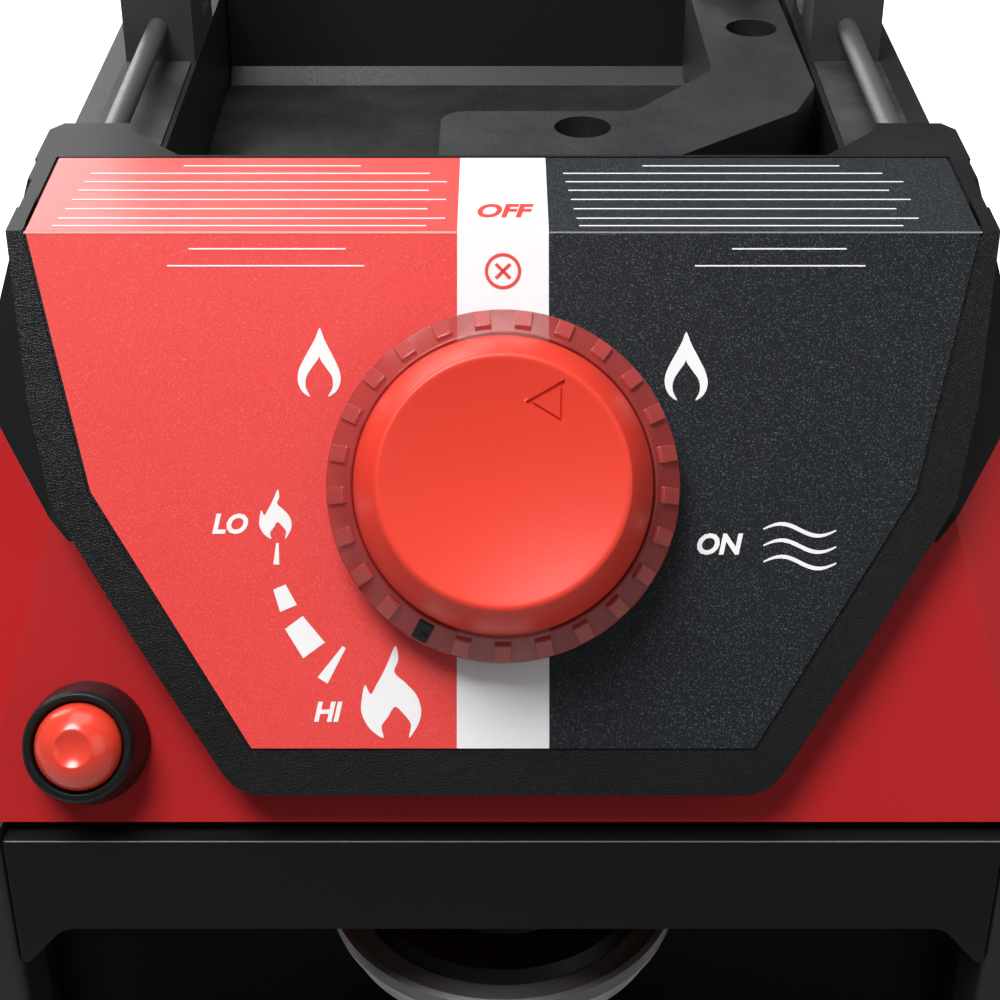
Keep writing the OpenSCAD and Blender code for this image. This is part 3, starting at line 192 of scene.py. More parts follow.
class NodeBench:
    """Adds nodes to one node tree and links them."""

    def __init__(self, tree: bpy.types.NodeTree) -> None:
        """Keep the tree that nodes are added to."""
        self.tree = tree

    def wire(self, node: bpy.types.Node, inputs: dict[str | int, object]) -> None:
        """Link or set a node's inputs.

        Args:
            node: the node.
            inputs: for each input, by name or index, a socket to link, or a number, colour or vector to set.
        """
        for key, value in inputs.items():
            socket = node.inputs[key]
            if isinstance(value, bpy.types.NodeSocket):
                self.tree.links.new(value, socket)
            elif isinstance(value, (int, float)):
                socket.default_value = float(value)
            else:
                socket.default_value = (*value, 1.0) if socket.type == "RGBA" else value

    def add(self, kind: str, inputs: dict[str | int, object] | None = None,
            **settings: object) -> bpy.types.Node:
        """Add one node.

        Args:
            kind: Blender's node type name.
            inputs: what its inputs get, as in wire.
            settings: attributes that are set on the node first.

        Returns:
            The new node.
        """
        node = self.tree.nodes.new(kind)
        for key, value in settings.items():
            setattr(node, key, value)
        self.wire(node, inputs or {})
        return node

    def maths(self, operation: str, a: object, b: object = 0.0, clamp: bool = False) -> bpy.types.NodeSocket:
        """Add a Math node.

        Args:
            operation: the node's operation.
            a: first socket or number.
            b: second socket or number.
            clamp: whether the result is held between 0 and 1.

        Returns:
            The node's output socket.
        """
        return self.add("ShaderNodeMath", {0: a, 1: b}, operation=operation, use_clamp=clamp).outputs[0]

    def plus(self, a: object, b: object, clamp: bool = False) -> bpy.types.NodeSocket:
        """Sum of two values."""
        return self.maths("ADD", a, b, clamp)

    def minus(self, a: object, b: object) -> bpy.types.NodeSocket:
        """Difference of two values."""
        return self.maths("SUBTRACT", a, b)

    def times(self, a: object, b: object, clamp: bool = False) -> bpy.types.NodeSocket:
        """Product of two values."""
        return self.maths("MULTIPLY", a, b, clamp)

    def over(self, a: object, b: object) -> bpy.types.NodeSocket:
        """1 where the first value is the greater, else 0."""
        return self.maths("GREATER_THAN", a, b)

    def under(self, a: object, b: object) -> bpy.types.NodeSocket:
        """1 where the first value is the smaller, else 0."""
        return self.maths("LESS_THAN", a, b)

    def ramp(self, value: object, start: float, gain: float) -> bpy.types.NodeSocket:
        """Straight rise from 0 at the start, with the given gain, held between 0 and 1."""
        return self.times(self.minus(value, start), gain, True)

    def squares(self, a: object, b: object) -> bpy.types.NodeSocket:
        """Sum of two values' squares."""
        return self.plus(self.maths("POWER", a, 2.0), self.maths("POWER", b, 2.0))

    def mix(self, factor: object, a: object, b: object) -> bpy.types.NodeSocket:
        """Add a colour Mix node.

        Args:
            factor: share of the second colour, a socket or a number.
            a: first colour, a socket or a colour.
            b: second colour, a socket or a colour.

        Returns:
            The mixed colour's socket.
        """
        return self.add("ShaderNodeMix", {0: factor, 6: a, 7: b}, data_type="RGBA").outputs[2]

    def place(self) -> bpy.types.NodeSocket:
        """Object coordinates, which are the frame's, because each node's object sits at the origin."""
        return self.add("ShaderNodeTexCoord").outputs["Object"]

    def axes(self, vector: bpy.types.NodeSocket) -> Sequence[bpy.types.NodeSocket]:
        """The x, y and z of a vector."""
        return tuple(self.add("ShaderNodeSeparateXYZ", {0: vector}).outputs)

    def noise(self, place: bpy.types.NodeSocket, scale: object, detail: float = 2.0, roughness: float = 0.5,
              output: str = "Fac") -> bpy.types.NodeSocket:
        """Add a noise texture.

        Args:
            place: its coordinates.
            scale: its scale, a socket or a number.
            detail: number of finer layers.
            roughness: strength of the finer layers.
            output: the output that is used.

        Returns:
            That output's socket.
        """
        settings = {"Vector": place, "Scale": scale, "Detail": detail, "Roughness": roughness}
        return self.add("ShaderNodeTexNoise", settings).outputs[output]

    def shown(self) -> bpy.types.NodeSocket:
        """1 for what the camera sees, straight or through see-through pieces, else 0."""
        path = self.add("ShaderNodeLightPath")
        return self.maths("MAXIMUM", path.outputs["Is Camera Ray"], path.outputs["Is Transmission Ray"])


class TextureGroups:
    """Node groups for the effects that several materials share."""

    def __init__(self) -> None:
        """Start with no group built."""
        self._made: dict[str, bpy.types.NodeTree] = {}

    def get(self, name: str) -> bpy.types.NodeTree:
        """Give a group by name, and build it on its first use."""
        if name not in self._made:
            self._made[name] = getattr(self, f"_{name}")()
        return self._made[name]

    @staticmethod
    def _start(name: str, given: str, usual: float,
               outputs: Sequence[str]) -> tuple[NodeBench, bpy.types.NodeSocket, bpy.types.Node]:
        """Make an empty group with float sockets.

        Args:
            name: the group's name.
            given: name of its input socket.
            usual: usual value of the input.
            outputs: names of the output sockets.

        Returns:
            The bench for the group's tree, the socket of its input and its output node.
        """
        tree = bpy.data.node_groups.new(name, "ShaderNodeTree")
        socket = tree.interface.new_socket(name=given, in_out="INPUT", socket_type="NodeSocketFloat")
        socket.default_value = usual
        for label in outputs:
            tree.interface.new_socket(name=label, in_out="OUTPUT", socket_type="NodeSocketFloat")
        bench = NodeBench(tree)
        return bench, bench.add("NodeGroupInput").outputs[given], bench.add("NodeGroupOutput")

    def _fine(self) -> bpy.types.NodeTree:
        """Even moulded grain."""
        bench, scale, out = self._start("fine_grain", "Scale", 1600.0, ("Height", "Mask"))
        grain = bench.noise(bench.place(), scale, 3.0, 0.65)
        bench.wire(out, {"Height": grain, "Mask": bench.ramp(grain, 0.35, 3.0)})
        return bench.tree

    def _leather(self) -> bpy.types.NodeTree:
        """Pebbled grain with narrow valleys."""
        bench, scale, out = self._start("leather_grain", "Scale", 900.0, ("Height", "Mask"))
        place = bench.place()
        bend = bench.noise(place, 400.0, output="Color")
        bent = bench.add("ShaderNodeVectorMath", {0: bend, 1: (0.0009, 0.0009, 0.0009), 2: place},
                         operation="MULTIPLY_ADD")
        cells = bench.add("ShaderNodeTexVoronoi", {"Vector": bent.outputs[0], "Scale": scale},
                          feature="DISTANCE_TO_EDGE")
        edge = bench.times(cells.outputs["Distance"], 4.0, True)
        soft = bench.noise(place, 2600.0)
        height = bench.plus(bench.times(edge, 0.8), bench.times(soft, 0.2))
        bench.wire(out, {"Height": height, "Mask": edge})
        return bench.tree

    def _cast(self) -> bpy.types.NodeTree:
        """Painted or cast skin with a low orange peel."""
        bench, scale, out = self._start("cast_skin", "Scale", 1200.0, ("Height", "Mask"))
        place = bench.place()
        wide = bench.noise(place, bench.times(scale, 0.35))
        close = bench.noise(place, scale, 4.0)
        height = bench.plus(bench.times(wide, 0.6), bench.times(close, 0.4))
        bench.wire(out, {"Height": height, "Mask": bench.ramp(close, 0.4, 4.0)})
        return bench.tree

    def _spark(self) -> bpy.types.NodeTree:
        """Sparse light specks, as in a printed film."""
        bench, scale, out = self._start("film_specks", "Scale", 2600.0, ("Height", "Mask"))
        specks = bench.noise(bench.place(), scale, 1.0)
        bench.wire(out, {"Height": specks, "Mask": bench.ramp(specks, 0.57, 9.0)})
        return bench.tree

    def _clouds(self) -> bpy.types.NodeTree:
        """Slow change of tone over a hand's width."""
        bench, scale, out = self._start("slow_clouds", "Scale", 14.0, ("Mask",))
        bench.wire(out, {"Mask": bench.ramp(bench.noise(bench.place(), scale, 3.0), 0.3, 2.5)})
        return bench.tree

    def _dust(self) -> bpy.types.NodeTree:
        """Dust that settles in patches on faces that look up."""
        bench, amount, out = self._start("settled_dust", "Amount", 0.2, ("Mask",))
        normal = bench.add("ShaderNodeNewGeometry").outputs["Normal"]
        facing_up = bench.ramp(bench.axes(normal)[2], 0.35, 1.5)
        patches = bench.ramp(bench.noise(bench.place(), 60.0, 6.0), 0.38, 2.4)
        bench.wire(out, {"Mask": bench.times(bench.times(facing_up, patches), amount, True)})
        return bench.tree


class Paintshop:
    """Turns finishes into materials, each made once."""

    def __init__(self) -> None:
        """Start with no material made."""
        self.groups = TextureGroups()
        self._made: dict[str, bpy.types.Material] = {}

    def group(self, bench: NodeBench, name: str, **values: float) -> bpy.types.Node:
        """Place a shared group in a material.

        Args:
            bench: the material's bench.
            name: the group's name.
            values: numbers for its input sockets.

        Returns:
            The group node.
        """
        return bench.add("ShaderNodeGroup", values, label=name, node_tree=self.groups.get(name))

    def clouds(self, bench: NodeBench, scale: float = 14.0) -> bpy.types.NodeSocket:
        """Mask of the slow change of tone in a material."""
        return self.group(bench, "clouds", Scale=scale).outputs["Mask"]

    def _blank(self, name: str) -> tuple[bpy.types.Material, NodeBench, bpy.types.Node]:
        """Make an empty material.

        Args:
            name: the material's name.

        Returns:
            The material, its bench and its Principled node.
        """
        made = bpy.data.materials.new(name)
        made.use_nodes = True
        made.node_tree.nodes.clear()
        bench = NodeBench(made.node_tree)
        shader = bench.add("ShaderNodeBsdfPrincipled")
        bench.add("ShaderNodeOutputMaterial", {"Surface": shader.outputs[0]})
        return made, bench, shader

    @staticmethod
    def _relief(bench: NodeBench, shader: bpy.types.Node, height: bpy.types.NodeSocket,
                finish: Finish) -> None:
        """Wire a height to the shader's normal.

        Args:
            bench: the material's bench.
            shader: its Principled node.
            height: the surface's height.
            finish: gives the strength and depth of the relief.
        """
        bump = bench.add("ShaderNodeBump",
                         {"Strength": finish.relief, "Distance": finish.depth, "Height": height})
        bench.wire(shader, {"Normal": bump.outputs[0]})

    def _settle(self, bench: NodeBench, shader: bpy.types.Node, finish: Finish, colour: bpy.types.NodeSocket,
                texture: bpy.types.Node) -> None:
        """Wire dust, gloss and relief to the shader.

        Args:
            bench: the material's bench.
            shader: its Principled node.
            finish: the finish whose numbers are used.
            colour: the surface's colour before dust.
            texture: the grain group's node.
        """
        dust = self.group(bench, "dust", Amount=finish.dust * 0.5).outputs["Mask"]
        rough = bench.plus(bench.times(texture.outputs["Mask"], 0.10), finish.roughness - 0.05)
        bench.wire(shader, {
            "Base Color": bench.mix(dust, colour, DUST_COLOUR),
            "Roughness": bench.plus(rough, bench.times(dust, 0.35), True),
            "Metallic": finish.metallic,
            "Coat Weight": finish.coat,
            "Coat Roughness": finish.coat_roughness,
            "Specular IOR Level": finish.specular,
            "Alpha": finish.alpha,
        })
        self._relief(bench, shader, texture.outputs["Height"], finish)
        if finish.subsurface:
            bench.wire(shader, {"Subsurface Weight": finish.subsurface, "Subsurface Radius": UNDER_SKIN,
                                "Subsurface Scale": 1.0})

    def material(self, finish: Finish | bpy.types.Material) -> bpy.types.Material:
        """Give a finish's material.

        Args:
            finish: what the material looks like, or a ready material, which is given back.

        Returns:
            The material.
        """
        if isinstance(finish, bpy.types.Material):
            return finish
        if finish.name not in self._made:
            made, bench, shader = self._blank(finish.name)
            group, fineness = finish.grain.value
            texture = self.group(bench, group, Scale=fineness / finish.grain_size)
            tone = bench.mix(bench.times(self.clouds(bench), finish.spread), finish.colour, finish.second)
            tone = bench.mix(bench.times(texture.outputs["Mask"], 0.3), tone, finish.second)
            self._settle(bench, shader, finish, tone, texture)
            self._made[finish.name] = made
        return self._made[finish.name]

    def two_tone_label(self, panel: "PanelFrame", stripe: float) -> bpy.types.Material:
        """Printed film: red on the left, dark on the right, a white stripe between. Both halves are a little
        lighter on the ledge, as painted light.

        Args:
            panel: where the panel lies.
            stripe: half width of the white stripe.

        Returns:
            The material.
        """
        finish, inks = LABEL_FILM, FilmInks()
        made, bench, shader = self._blank(finish.name)
        across, along, _ = bench.axes(bench.place())
        texture = self.group(bench, "spark", Scale=1.0 / finish.grain_size)
        specks = texture.outputs["Mask"]
        on_ledge = bench.over(along, panel.fold_y)
        red = bench.mix(bench.times(self.clouds(bench, 9.0), 0.5), finish.colour, finish.second)
        red = bench.mix(bench.times(specks, 0.35), red, inks.red_speck)
        # Painted light: the red and the dark half are lifted a little where the film lies on the ledge.
        red = bench.mix(bench.times(on_ledge, 0.12), red, inks.red_ledge_painted_light)
        dark = bench.mix(bench.times(specks, 0.55), inks.dark, inks.dark_speck_and_painted_light)
        dark = bench.mix(bench.times(on_ledge, 0.04), dark, inks.dark_speck_and_painted_light)
        halves = bench.mix(bench.over(across, 0.0), red, dark)
        white = bench.mix(bench.times(specks, 0.2), inks.white, inks.white_speck)
        in_stripe = bench.under(bench.maths("ABSOLUTE", across), stripe)
        self._settle(bench, shader, finish, bench.mix(in_stripe, halves, white), texture)
        return made

    def housing_skin(self, panel: "PanelFrame", bezel: float) -> bpy.types.Material:
        """Black moulding: finely pebbled on the bezel, smooth on the rim and the flanks.

        Args:
            panel: where the panel lies.
            bezel: depth below the panel down to which the skin is pebbled.

        Returns:
            The material.
        """
        finish = BLACK_GRAIN
        made, bench, shader = self._blank("housing_skin")
        _, along, up = bench.axes(bench.place())
        back = bench.times(bench.minus(along, panel.fold_y), -math.cos(panel.tilt))
        rise = bench.times(bench.minus(up, panel.ledge_z), math.sin(panel.tilt))
        proud = bench.over(bench.plus(back, rise), -bezel + 0.3 * MM)
        pebbled = bench.times(proud, bench.under(up, panel.ledge_z - 0.2 * MM))
        leather = self.group(bench, "leather", Scale=1.0 / finish.grain_size)
        smooth = self.group(bench, "fine", Scale=1.0 / finish.grain_size)
        tone = bench.mix(bench.times(self.clouds(bench), finish.spread), finish.colour, finish.second)
        dust = self.group(bench, "dust", Amount=finish.dust).outputs["Mask"]
        gloss = bench.minus(0.46, bench.times(pebbled, 0.11))
        bench.wire(shader, {
            "Base Color": bench.mix(dust, tone, DUST_COLOUR),
            "Roughness": bench.plus(gloss, bench.times(smooth.outputs["Mask"], 0.06)),
            "Specular IOR Level": finish.specular,
        })
        height = bench.plus(bench.times(leather.outputs["Height"], pebbled),
                            bench.times(smooth.outputs["Height"], 0.22))
        self._relief(bench, shader, height, finish)
        return made

    def ringed(self, name: str, inner: Finish, outer: Finish, centre_y: float,
               radius: float) -> bpy.types.Material:
        """Round upright part with one finish inside a radius and another outside it.

        Args:
            name: the material's name.
            inner: finish near the axis.
            outer: finish outside the radius.
            centre_y: where the upright axis stands, on the mirror plane.
            radius: where the finish changes.

        Returns:
            The material.
        """
        made, bench, shader = self._blank(name)
        away = bench.add("ShaderNodeVectorMath", {0: bench.place(), 1: (0.0, centre_y, 0.0)},
                         operation="SUBTRACT")
        across, along, _ = bench.axes(away.outputs[0])
        outside = bench.over(bench.squares(across, along), radius ** 2)
        grain = self.group(bench, "fine", Scale=1.0 / outer.grain_size)
        bright = bench.mix(self.clouds(bench, 40.0), outer.colour, outer.second)
        self._settle(bench, shader, outer, bench.mix(outside, inner.colour, bright), grain)
        bench.wire(shader, {"Metallic": bench.times(outside, outer.metallic)})
        return made

    def burner_face(self, hole_step: float) -> bpy.types.Material:
        """Fired clay plaque with rows of flame holes, each painted dark as painted shade.

        Args:
            hole_step: distance from hole to hole.

        Returns:
            The material.
        """
        # Painted shade: the dark colour of the flame holes.
        finish, hole_shade, row_rise = BURNER_CLAY, (0.030, 0.020, 0.014), 0.866
        made, bench, shader = self._blank(finish.name)
        across, _, up = bench.axes(bench.place())
        rows = bench.maths("DIVIDE", up, hole_step * row_rise)
        odd = bench.maths("MODULO", bench.maths("ABSOLUTE", bench.maths("FLOOR", rows)), 2.0)
        columns = bench.plus(bench.maths("DIVIDE", across, hole_step), bench.times(odd, 0.5))
        aside = bench.minus(bench.maths("FRACT", columns), 0.5)
        above = bench.times(bench.minus(bench.maths("FRACT", rows), 0.5), row_rise)
        solid = bench.ramp(bench.maths("SQRT", bench.squares(aside, above)), 0.22, 12.0)
        texture = self.group(bench, "fine", Scale=1.0 / finish.grain_size)
        clay = bench.mix(self.clouds(bench, 30.0), finish.colour, finish.second)
        bench.wire(shader, {
            "Base Color": bench.mix(solid, hole_shade, clay),
            "Roughness": bench.plus(bench.times(texture.outputs["Mask"], 0.08), finish.roughness - 0.04),
        })
        height = bench.plus(solid, bench.times(texture.outputs["Height"], 0.15))
        self._relief(bench, shader, height, finish)
        return made


# ---------------------------------------------------------------- shapes


@dataclass(frozen=True)
class PanelFrame:
    """The sloping control panel: u across, v down from the fold, n out of it."""

    fold_y: float = -0.0695
    ledge_z: float = 0.380
    tilt: float = math.radians(34.0)

    def matrix(self, u: float = 0.0, v: float = 0.0, n: float = 0.0) -> Matrix:
        """Matrix that puts a piece on the panel.

        Args:
            u: distance across.
            v: distance down from the fold.
            n: height over the panel.

        Returns:
            The matrix, whose x runs across, y up the slope and z out.
        """
        s, c = math.sin(self.tilt), math.cos(self.tilt)
        place = (u, self.fold_y - v * s - n * c, self.ledge_z - v * c + n * s)
        return Matrix(((1, 0, 0, place[0]), (0, s, -c, place[1]), (0, c, s, place[2]), (0, 0, 0, 1)))


class Workshop:
    """Makes meshes and dresses CAD nodes."""

    def __init__(self, paint: Paintshop) -> None:
        """Keep the paint shop that gives the materials."""
        self.paint = paint

    def piece(self, name: str, mesh: bpy.types.Mesh, body: str, slot: str,
              finish: Finish) -> bpy.types.Object:
        """Add a piece to the scene.

        Args:
            name: the piece's name.
            mesh: its mesh.
            body: the body that it rides on.
            slot: the record's material slot; not used.
            finish: its finish.

        Returns:
            The new object.
        """
        made = bpy.data.objects.new(name, mesh)
        bpy.context.scene.collection.objects.link(made)
        mesh.materials.append(self.paint.material(finish))
        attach(made, body)
        LOG.info("piece %s: %d faces", name, len(mesh.polygons))
        return made

    @staticmethod
    def finish_mesh(bm: bmesh.types.BMesh, name: str, matrix: Matrix | None = None,
                    angle: float = 35.0) -> bpy.types.Mesh:
        """Turn a bmesh into a mesh with smooth and sharp edges.

        Args:
            bm: the bmesh, which is freed.
            name: the mesh's name.
            matrix: placing, if any.
            angle: edges over this angle, in degrees, stay sharp.

        Returns:
            The mesh.
        """
        if matrix is not None:
            bmesh.ops.transform(bm, matrix=matrix, verts=bm.verts)
        bmesh.ops.recalc_face_normals(bm, faces=bm.faces)
        limit = math.radians(angle)
        for face in bm.faces:
            face.smooth = True
        for edge in bm.edges:
            edge.smooth = len(edge.link_faces) == 2 and edge.calc_face_angle(0.0) < limit
        mesh = bpy.data.meshes.new(name)
        bm.to_mesh(mesh)
        bm.free()
        return mesh

    @staticmethod
    def rounded(points: Sequence[Point2], radii: Sequence[float], steps: int = 5,
                closed: bool = False) -> list[Point2]:
        """Round the corners of a line of points.

        Args:
            points: the corners.
            radii: a radius for each corner.
            steps: points along each arc, less one.
            closed: whether the last corner joins the first.

        Returns:
            The rounded line.
        """
        nearly_straight = math.radians(89.5)
        result: list[Point2] = []
        count = len(points)
        for i, point in enumerate(points):
            here = Vector(point)
            before = (Vector(points[i - 1]) - here).normalized()
            after = (Vector(points[(i + 1) % count]) - here).normalized()
            half = before.angle(after) / 2
            if radii[i] <= 0 or (not closed and i in (0, count - 1)) or half > nearly_straight:
                result.append((here.x, here.y))
                continue
            reach = radii[i] / math.tan(half)
            centre = here + (before + after).normalized() * (radii[i] / math.sin(half))
            start, end = here + before * reach - centre, here + after * reach - centre
            turn = start.angle_signed(end)
            first = math.atan2(start.y, start.x)
            for k in range(steps + 1):
                a = first - turn * k / steps
                result.append((centre.x + radii[i] * math.cos(a), centre.y + radii[i] * math.sin(a)))
        return result

    def lathe(self, name: str, profile: Sequence[Point2], matrix: Matrix, segments: int = 96,
              angle: float = 35.0) -> bpy.types.Mesh:
        """Turn a profile of (radius, height) about the z axis.

        Args:
            name: the mesh's name.
            profile: points from the lower axis end to the upper one, or a closed ring.
            matrix: placing.
            segments: steps round the axis.
            angle: edges over this angle, in degrees, stay sharp.

        Returns:
            The mesh.
        """
        on_axis = 1e-7
        bm = bmesh.new()
        rings: list[list[bmesh.types.BMVert]] = []
        for radius, height in profile:
            ring = []
            for k in range(segments if radius > on_axis else 1):
                turn = FULL_TURN * k / segments
                ring.append(bm.verts.new((radius * math.cos(turn), radius * math.sin(turn), height)))
            rings.append(ring)
        closed = profile[0][0] > on_axis and profile[-1][0] > on_axis
        for low, high in list(zip(rings, rings[1:])) + ([(rings[-1], rings[0])] if closed else []):
            for k in range(segments):
                j = k + 1
                corners = (low[k % len(low)], low[j % len(low)], high[j % len(high)], high[k % len(high)])
                different = list(dict.fromkeys(corners))
                if len(different) > 2:
                    bm.faces.new(different)
        return self.finish_mesh(bm, name, matrix, angle)

    def plate(self, name: str, outlines: Iterable[Sequence[Point2]], low: float, high: float,
              matrix: Matrix) -> bpy.types.Mesh:
        """Flat plates with the given outlines.

        Args:
            name: the mesh's name.
            outlines: one closed outline for each plate.
            low: height of the underside.
            high: height of the top.
            matrix: placing.

        Returns:
            The mesh.
        """
        bm = bmesh.new()
        for outline in outlines:
            face = bm.faces.new([bm.verts.new((x, y, low)) for x, y in outline])
            grown = bmesh.ops.extrude_face_region(bm, geom=[face])
            moved = [g for g in grown["geom"] if isinstance(g, bmesh.types.BMVert)]
            bmesh.ops.translate(bm, verts=moved, vec=(0, 0, high - low))
        bmesh.ops.triangulate(bm, faces=[f for f in bm.faces if len(f.verts) > 4])
        return self.finish_mesh(bm, name, matrix, 30.0)

    def screws(self, name: str, places: Sequence[Matrix], radius: float, slot: str, finish: Finish) -> None:
        """Button-head screws with a hexagonal recess.

        Args:
            name: the piece's name.
            places: one matrix for each head, its z outward.
            radius: radius of the heads.
            slot: the record's material slot.
            finish: their finish.
        """
        segments, recess, height = 48, 0.42 * radius, 0.42 * radius
        sixth = FULL_TURN / 6
        levels = ((radius, 0.0, False), (radius, 0.3, False), (0.86 * radius, 0.8, False),
                  (0.64 * radius, 1.0, False), (recess, 1.0, True), (recess, 0.3, True))
        bm = bmesh.new()
        for place in places:
            rings = []
            for size, level, is_hex in levels:
                ring = []
                for k in range(segments):
                    turn = FULL_TURN * k / segments
                    flat = math.cos(sixth / 2) / math.cos(turn % sixth - sixth / 2) if is_hex else 1.0
                    across, up = size * flat * math.cos(turn), size * flat * math.sin(turn)
                    ring.append(bm.verts.new(place @ Vector((across, up, height * level))))
                rings.append(ring)
            for low, high in zip(rings, rings[1:]):
                for k in range(segments):
                    j = (k + 1) % segments
                    bm.faces.new((low[k], low[j], high[j], high[k]))
            bm.faces.new(rings[-1])
            bm.faces.new(list(reversed(rings[0])))
        self.piece(name, self.finish_mesh(bm, name, None, 35.0), "frame", slot, finish)

    @staticmethod
    def soften(made: bpy.types.Object, width: float, angle: float = 30.0) -> None:
        """Round a piece's edges over an angle in degrees to the given width."""
        edge = made.modifiers.new("soft_edges", "BEVEL")
        edge.width, edge.segments, edge.limit_method = width, 2, "ANGLE"
        edge.angle_limit = math.radians(angle)

    def dress(self, names: str, finish: Finish | bpy.types.Material, bevel: float = 0.0,
              angle: float = 30.0) -> None:
        """Give CAD nodes a material and soft edges.

        Args:
            names: names of the CAD nodes, with spaces between.
            finish: a finish or a ready material.
            bevel: width of the rounded edges, 0 for none.
            angle: edges over this angle, in degrees, stay sharp or are rounded.
        """
        material = self.paint.material(finish)
        for name in names.split():
            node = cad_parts[name]
            node.data.materials.clear()
            node.data.materials.append(material)
            for face in node.data.polygons:
                face.use_smooth = True
                face.material_index = 0
            node.modifiers.new("weld", "WELD").merge_threshold = 0.000002
            if bevel > 0:
                self.soften(node, bevel, angle)
            node.modifiers.new("sharp", "EDGE_SPLIT").split_angle = math.radians(angle + 8.0)
            flat = node.modifiers.new("flat_faces", "WEIGHTED_NORMAL")
            flat.weight, flat.keep_sharp = 90, True
        LOG.info("dressed %s", names)

    def dress_all(self, coats: Iterable[tuple[str, Finish, float]]) -> None:
        """Dress several groups of nodes, each with its names, finish and width of rounded edges."""
        for names, finish, bevel in coats:
            self.dress(names, finish, bevel)


# ---------------------------------------------------------------- sub-assemblies


@dataclass
class KnobAssembly:
    """Push-and-turn knob: dished cap and lugged skirt."""

    shop: Workshop
    panel: PanelFrame
    down: float = 0.0482
    cap_radius: float = 0.0274
    cap_foot: float = 0.008
    cap_under: float = 0.0070
    cap_top: float = 0.025
    cap_bulge: float = 2.2
    rim_radius: float = 0.0223
    rim_knee: Point2 = (0.02241, 0.02502)
    dish_radius: float = 0.0215
    dish_depth: float = 0.0030
    pointer_turn: float = math.radians(31.0)
    pointer_outer: Point2 = (0.0210, 0.0080)
    pointer_inner: Point2 = (0.0196, 0.00558)
    pointer_depth: float = 0.00055
    skirt_radius: float = 0.0325
    skirt_low: float = 0.0052
    skirt_edge: float = 0.0072
    skirt_top: float = 0.0116
    lugs: int = 25
    lug_turn: float = math.radians(7.2)
    slot_lug: int = 14

    def _place(self) -> Matrix:
        """Matrix of the knob's axis, turned so that +y is the pointer."""
        return self.panel.matrix(0.0, self.down) @ Matrix.Rotation(-self.pointer_turn, 4, "Z")

    def _dish(self, radius: float) -> float:
        """Height of the dish at a distance from the axis."""
        return self.cap_top - self.dish_depth * (1.0 - (radius / self.rim_radius) ** 2)

    def _cap_profile(self) -> list[Point2]:
        """Profile of the cap from its underside over the side and the rim to the dish's middle.

        Returns:
            The points (radius, height).
        """
        radius, rim = self.cap_radius, self.rim_radius + 0.0005
        rise = self.cap_top - 0.0006 - self.cap_foot
        side_steps, bend_steps, dish_steps = 24, 8, 22
        side = []
        for k in range(side_steps + 1):
            s = k / side_steps
            side.append((rim + (radius - rim) * (1.0 - s ** self.cap_bulge), self.cap_foot + rise * s))
        start, knee = Vector(side[-1]), Vector(self.rim_knee)
        end = Vector((self.dish_radius, self._dish(self.dish_radius)))
        bend = []
        for k in range(1, bend_steps):
            t = k / bend_steps
            spot = start * (1 - t) ** 2 + knee * (2 * t * (1 - t)) + end * t ** 2
            bend.append((spot.x, spot.y))
        inward = [end.x * (1 - k / dish_steps) for k in range(dish_steps + 1)]
        dish = [(r, self._dish(r)) for r in inward]
        return [(0.0, self.cap_under), (radius - 0.0002, self.cap_under)] + side + bend + dish

    def _pointer_cutter(self) -> bpy.types.Object:
        """Ring-shaped cutter for the engraved pointer, its floor along the dish.

        Returns:
            The cutter object.
        """
        bm = bmesh.new()
        rings = []
        for tip, side in (self.pointer_outer, self.pointer_inner):
            back = tip - side * math.cos(math.radians(30.0))
            outline = [(0.0, tip), (-side / 2, back), (side / 2, back)]
            floor = [bm.verts.new((x, y, self._dish(math.hypot(x, y)) - self.pointer_depth))
                     for x, y in outline]
            roof = [bm.verts.new((x, y, self.cap_top + 0.002)) for x, y in outline]
            rings.append((floor, roof))
        (f0, t0), (f1, t1) = rings
        for k in range(3):
            j = (k + 1) % 3
            bm.faces.new((f0[k], f0[j], t0[j], t0[k]))
            bm.faces.new((f1[j], f1[k], t1[k], t1[j]))
            bm.faces.new((f0[j], f0[k], f1[k], f1[j]))
            bm.faces.new((t0[k], t0[j], t1[j], t1[k]))
        bmesh.ops.recalc_face_normals(bm, faces=bm.faces)
        mesh = bpy.data.meshes.new("pointer_cut")
        bm.to_mesh(mesh)
        bm.free()
        cutter = bpy.data.objects.new("pointer_cut", mesh)
        bpy.context.scene.collection.objects.link(cutter)
        return cutter

    def build_cap(self) -> None:
        """Build the cap with its dish and the engraved pointer."""
        mesh = self.shop.lathe("knob_cap_dress", self._cap_profile(), Matrix.Identity(4), 160, 50.0)
        blank = bpy.data.objects.new("knob_cap_dress", mesh)
        bpy.context.scene.collection.objects.link(blank)
        cutter = self._pointer_cutter()
        cut = blank.modifiers.new("pointer", "BOOLEAN")
        cut.operation, cut.object, cut.solver = "DIFFERENCE", cutter, "EXACT"
        bpy.context.view_layer.update()
        graph = bpy.context.evaluated_depsgraph_get()
        bm = bmesh.new()
        bm.from_mesh(bpy.data.meshes.new_from_object(blank.evaluated_get(graph)))
        for helper in (cutter, blank):
            bpy.data.objects.remove(helper)
        mesh = self.shop.finish_mesh(bm, "knob_cap_dress", self._place(), 40.0)
        made = self.shop.piece("knob_cap_dress", mesh, "knob", "knob_red", KNOB_RED)
        self.shop.soften(made, 0.0002, 50.0)
        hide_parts("knob_cap")

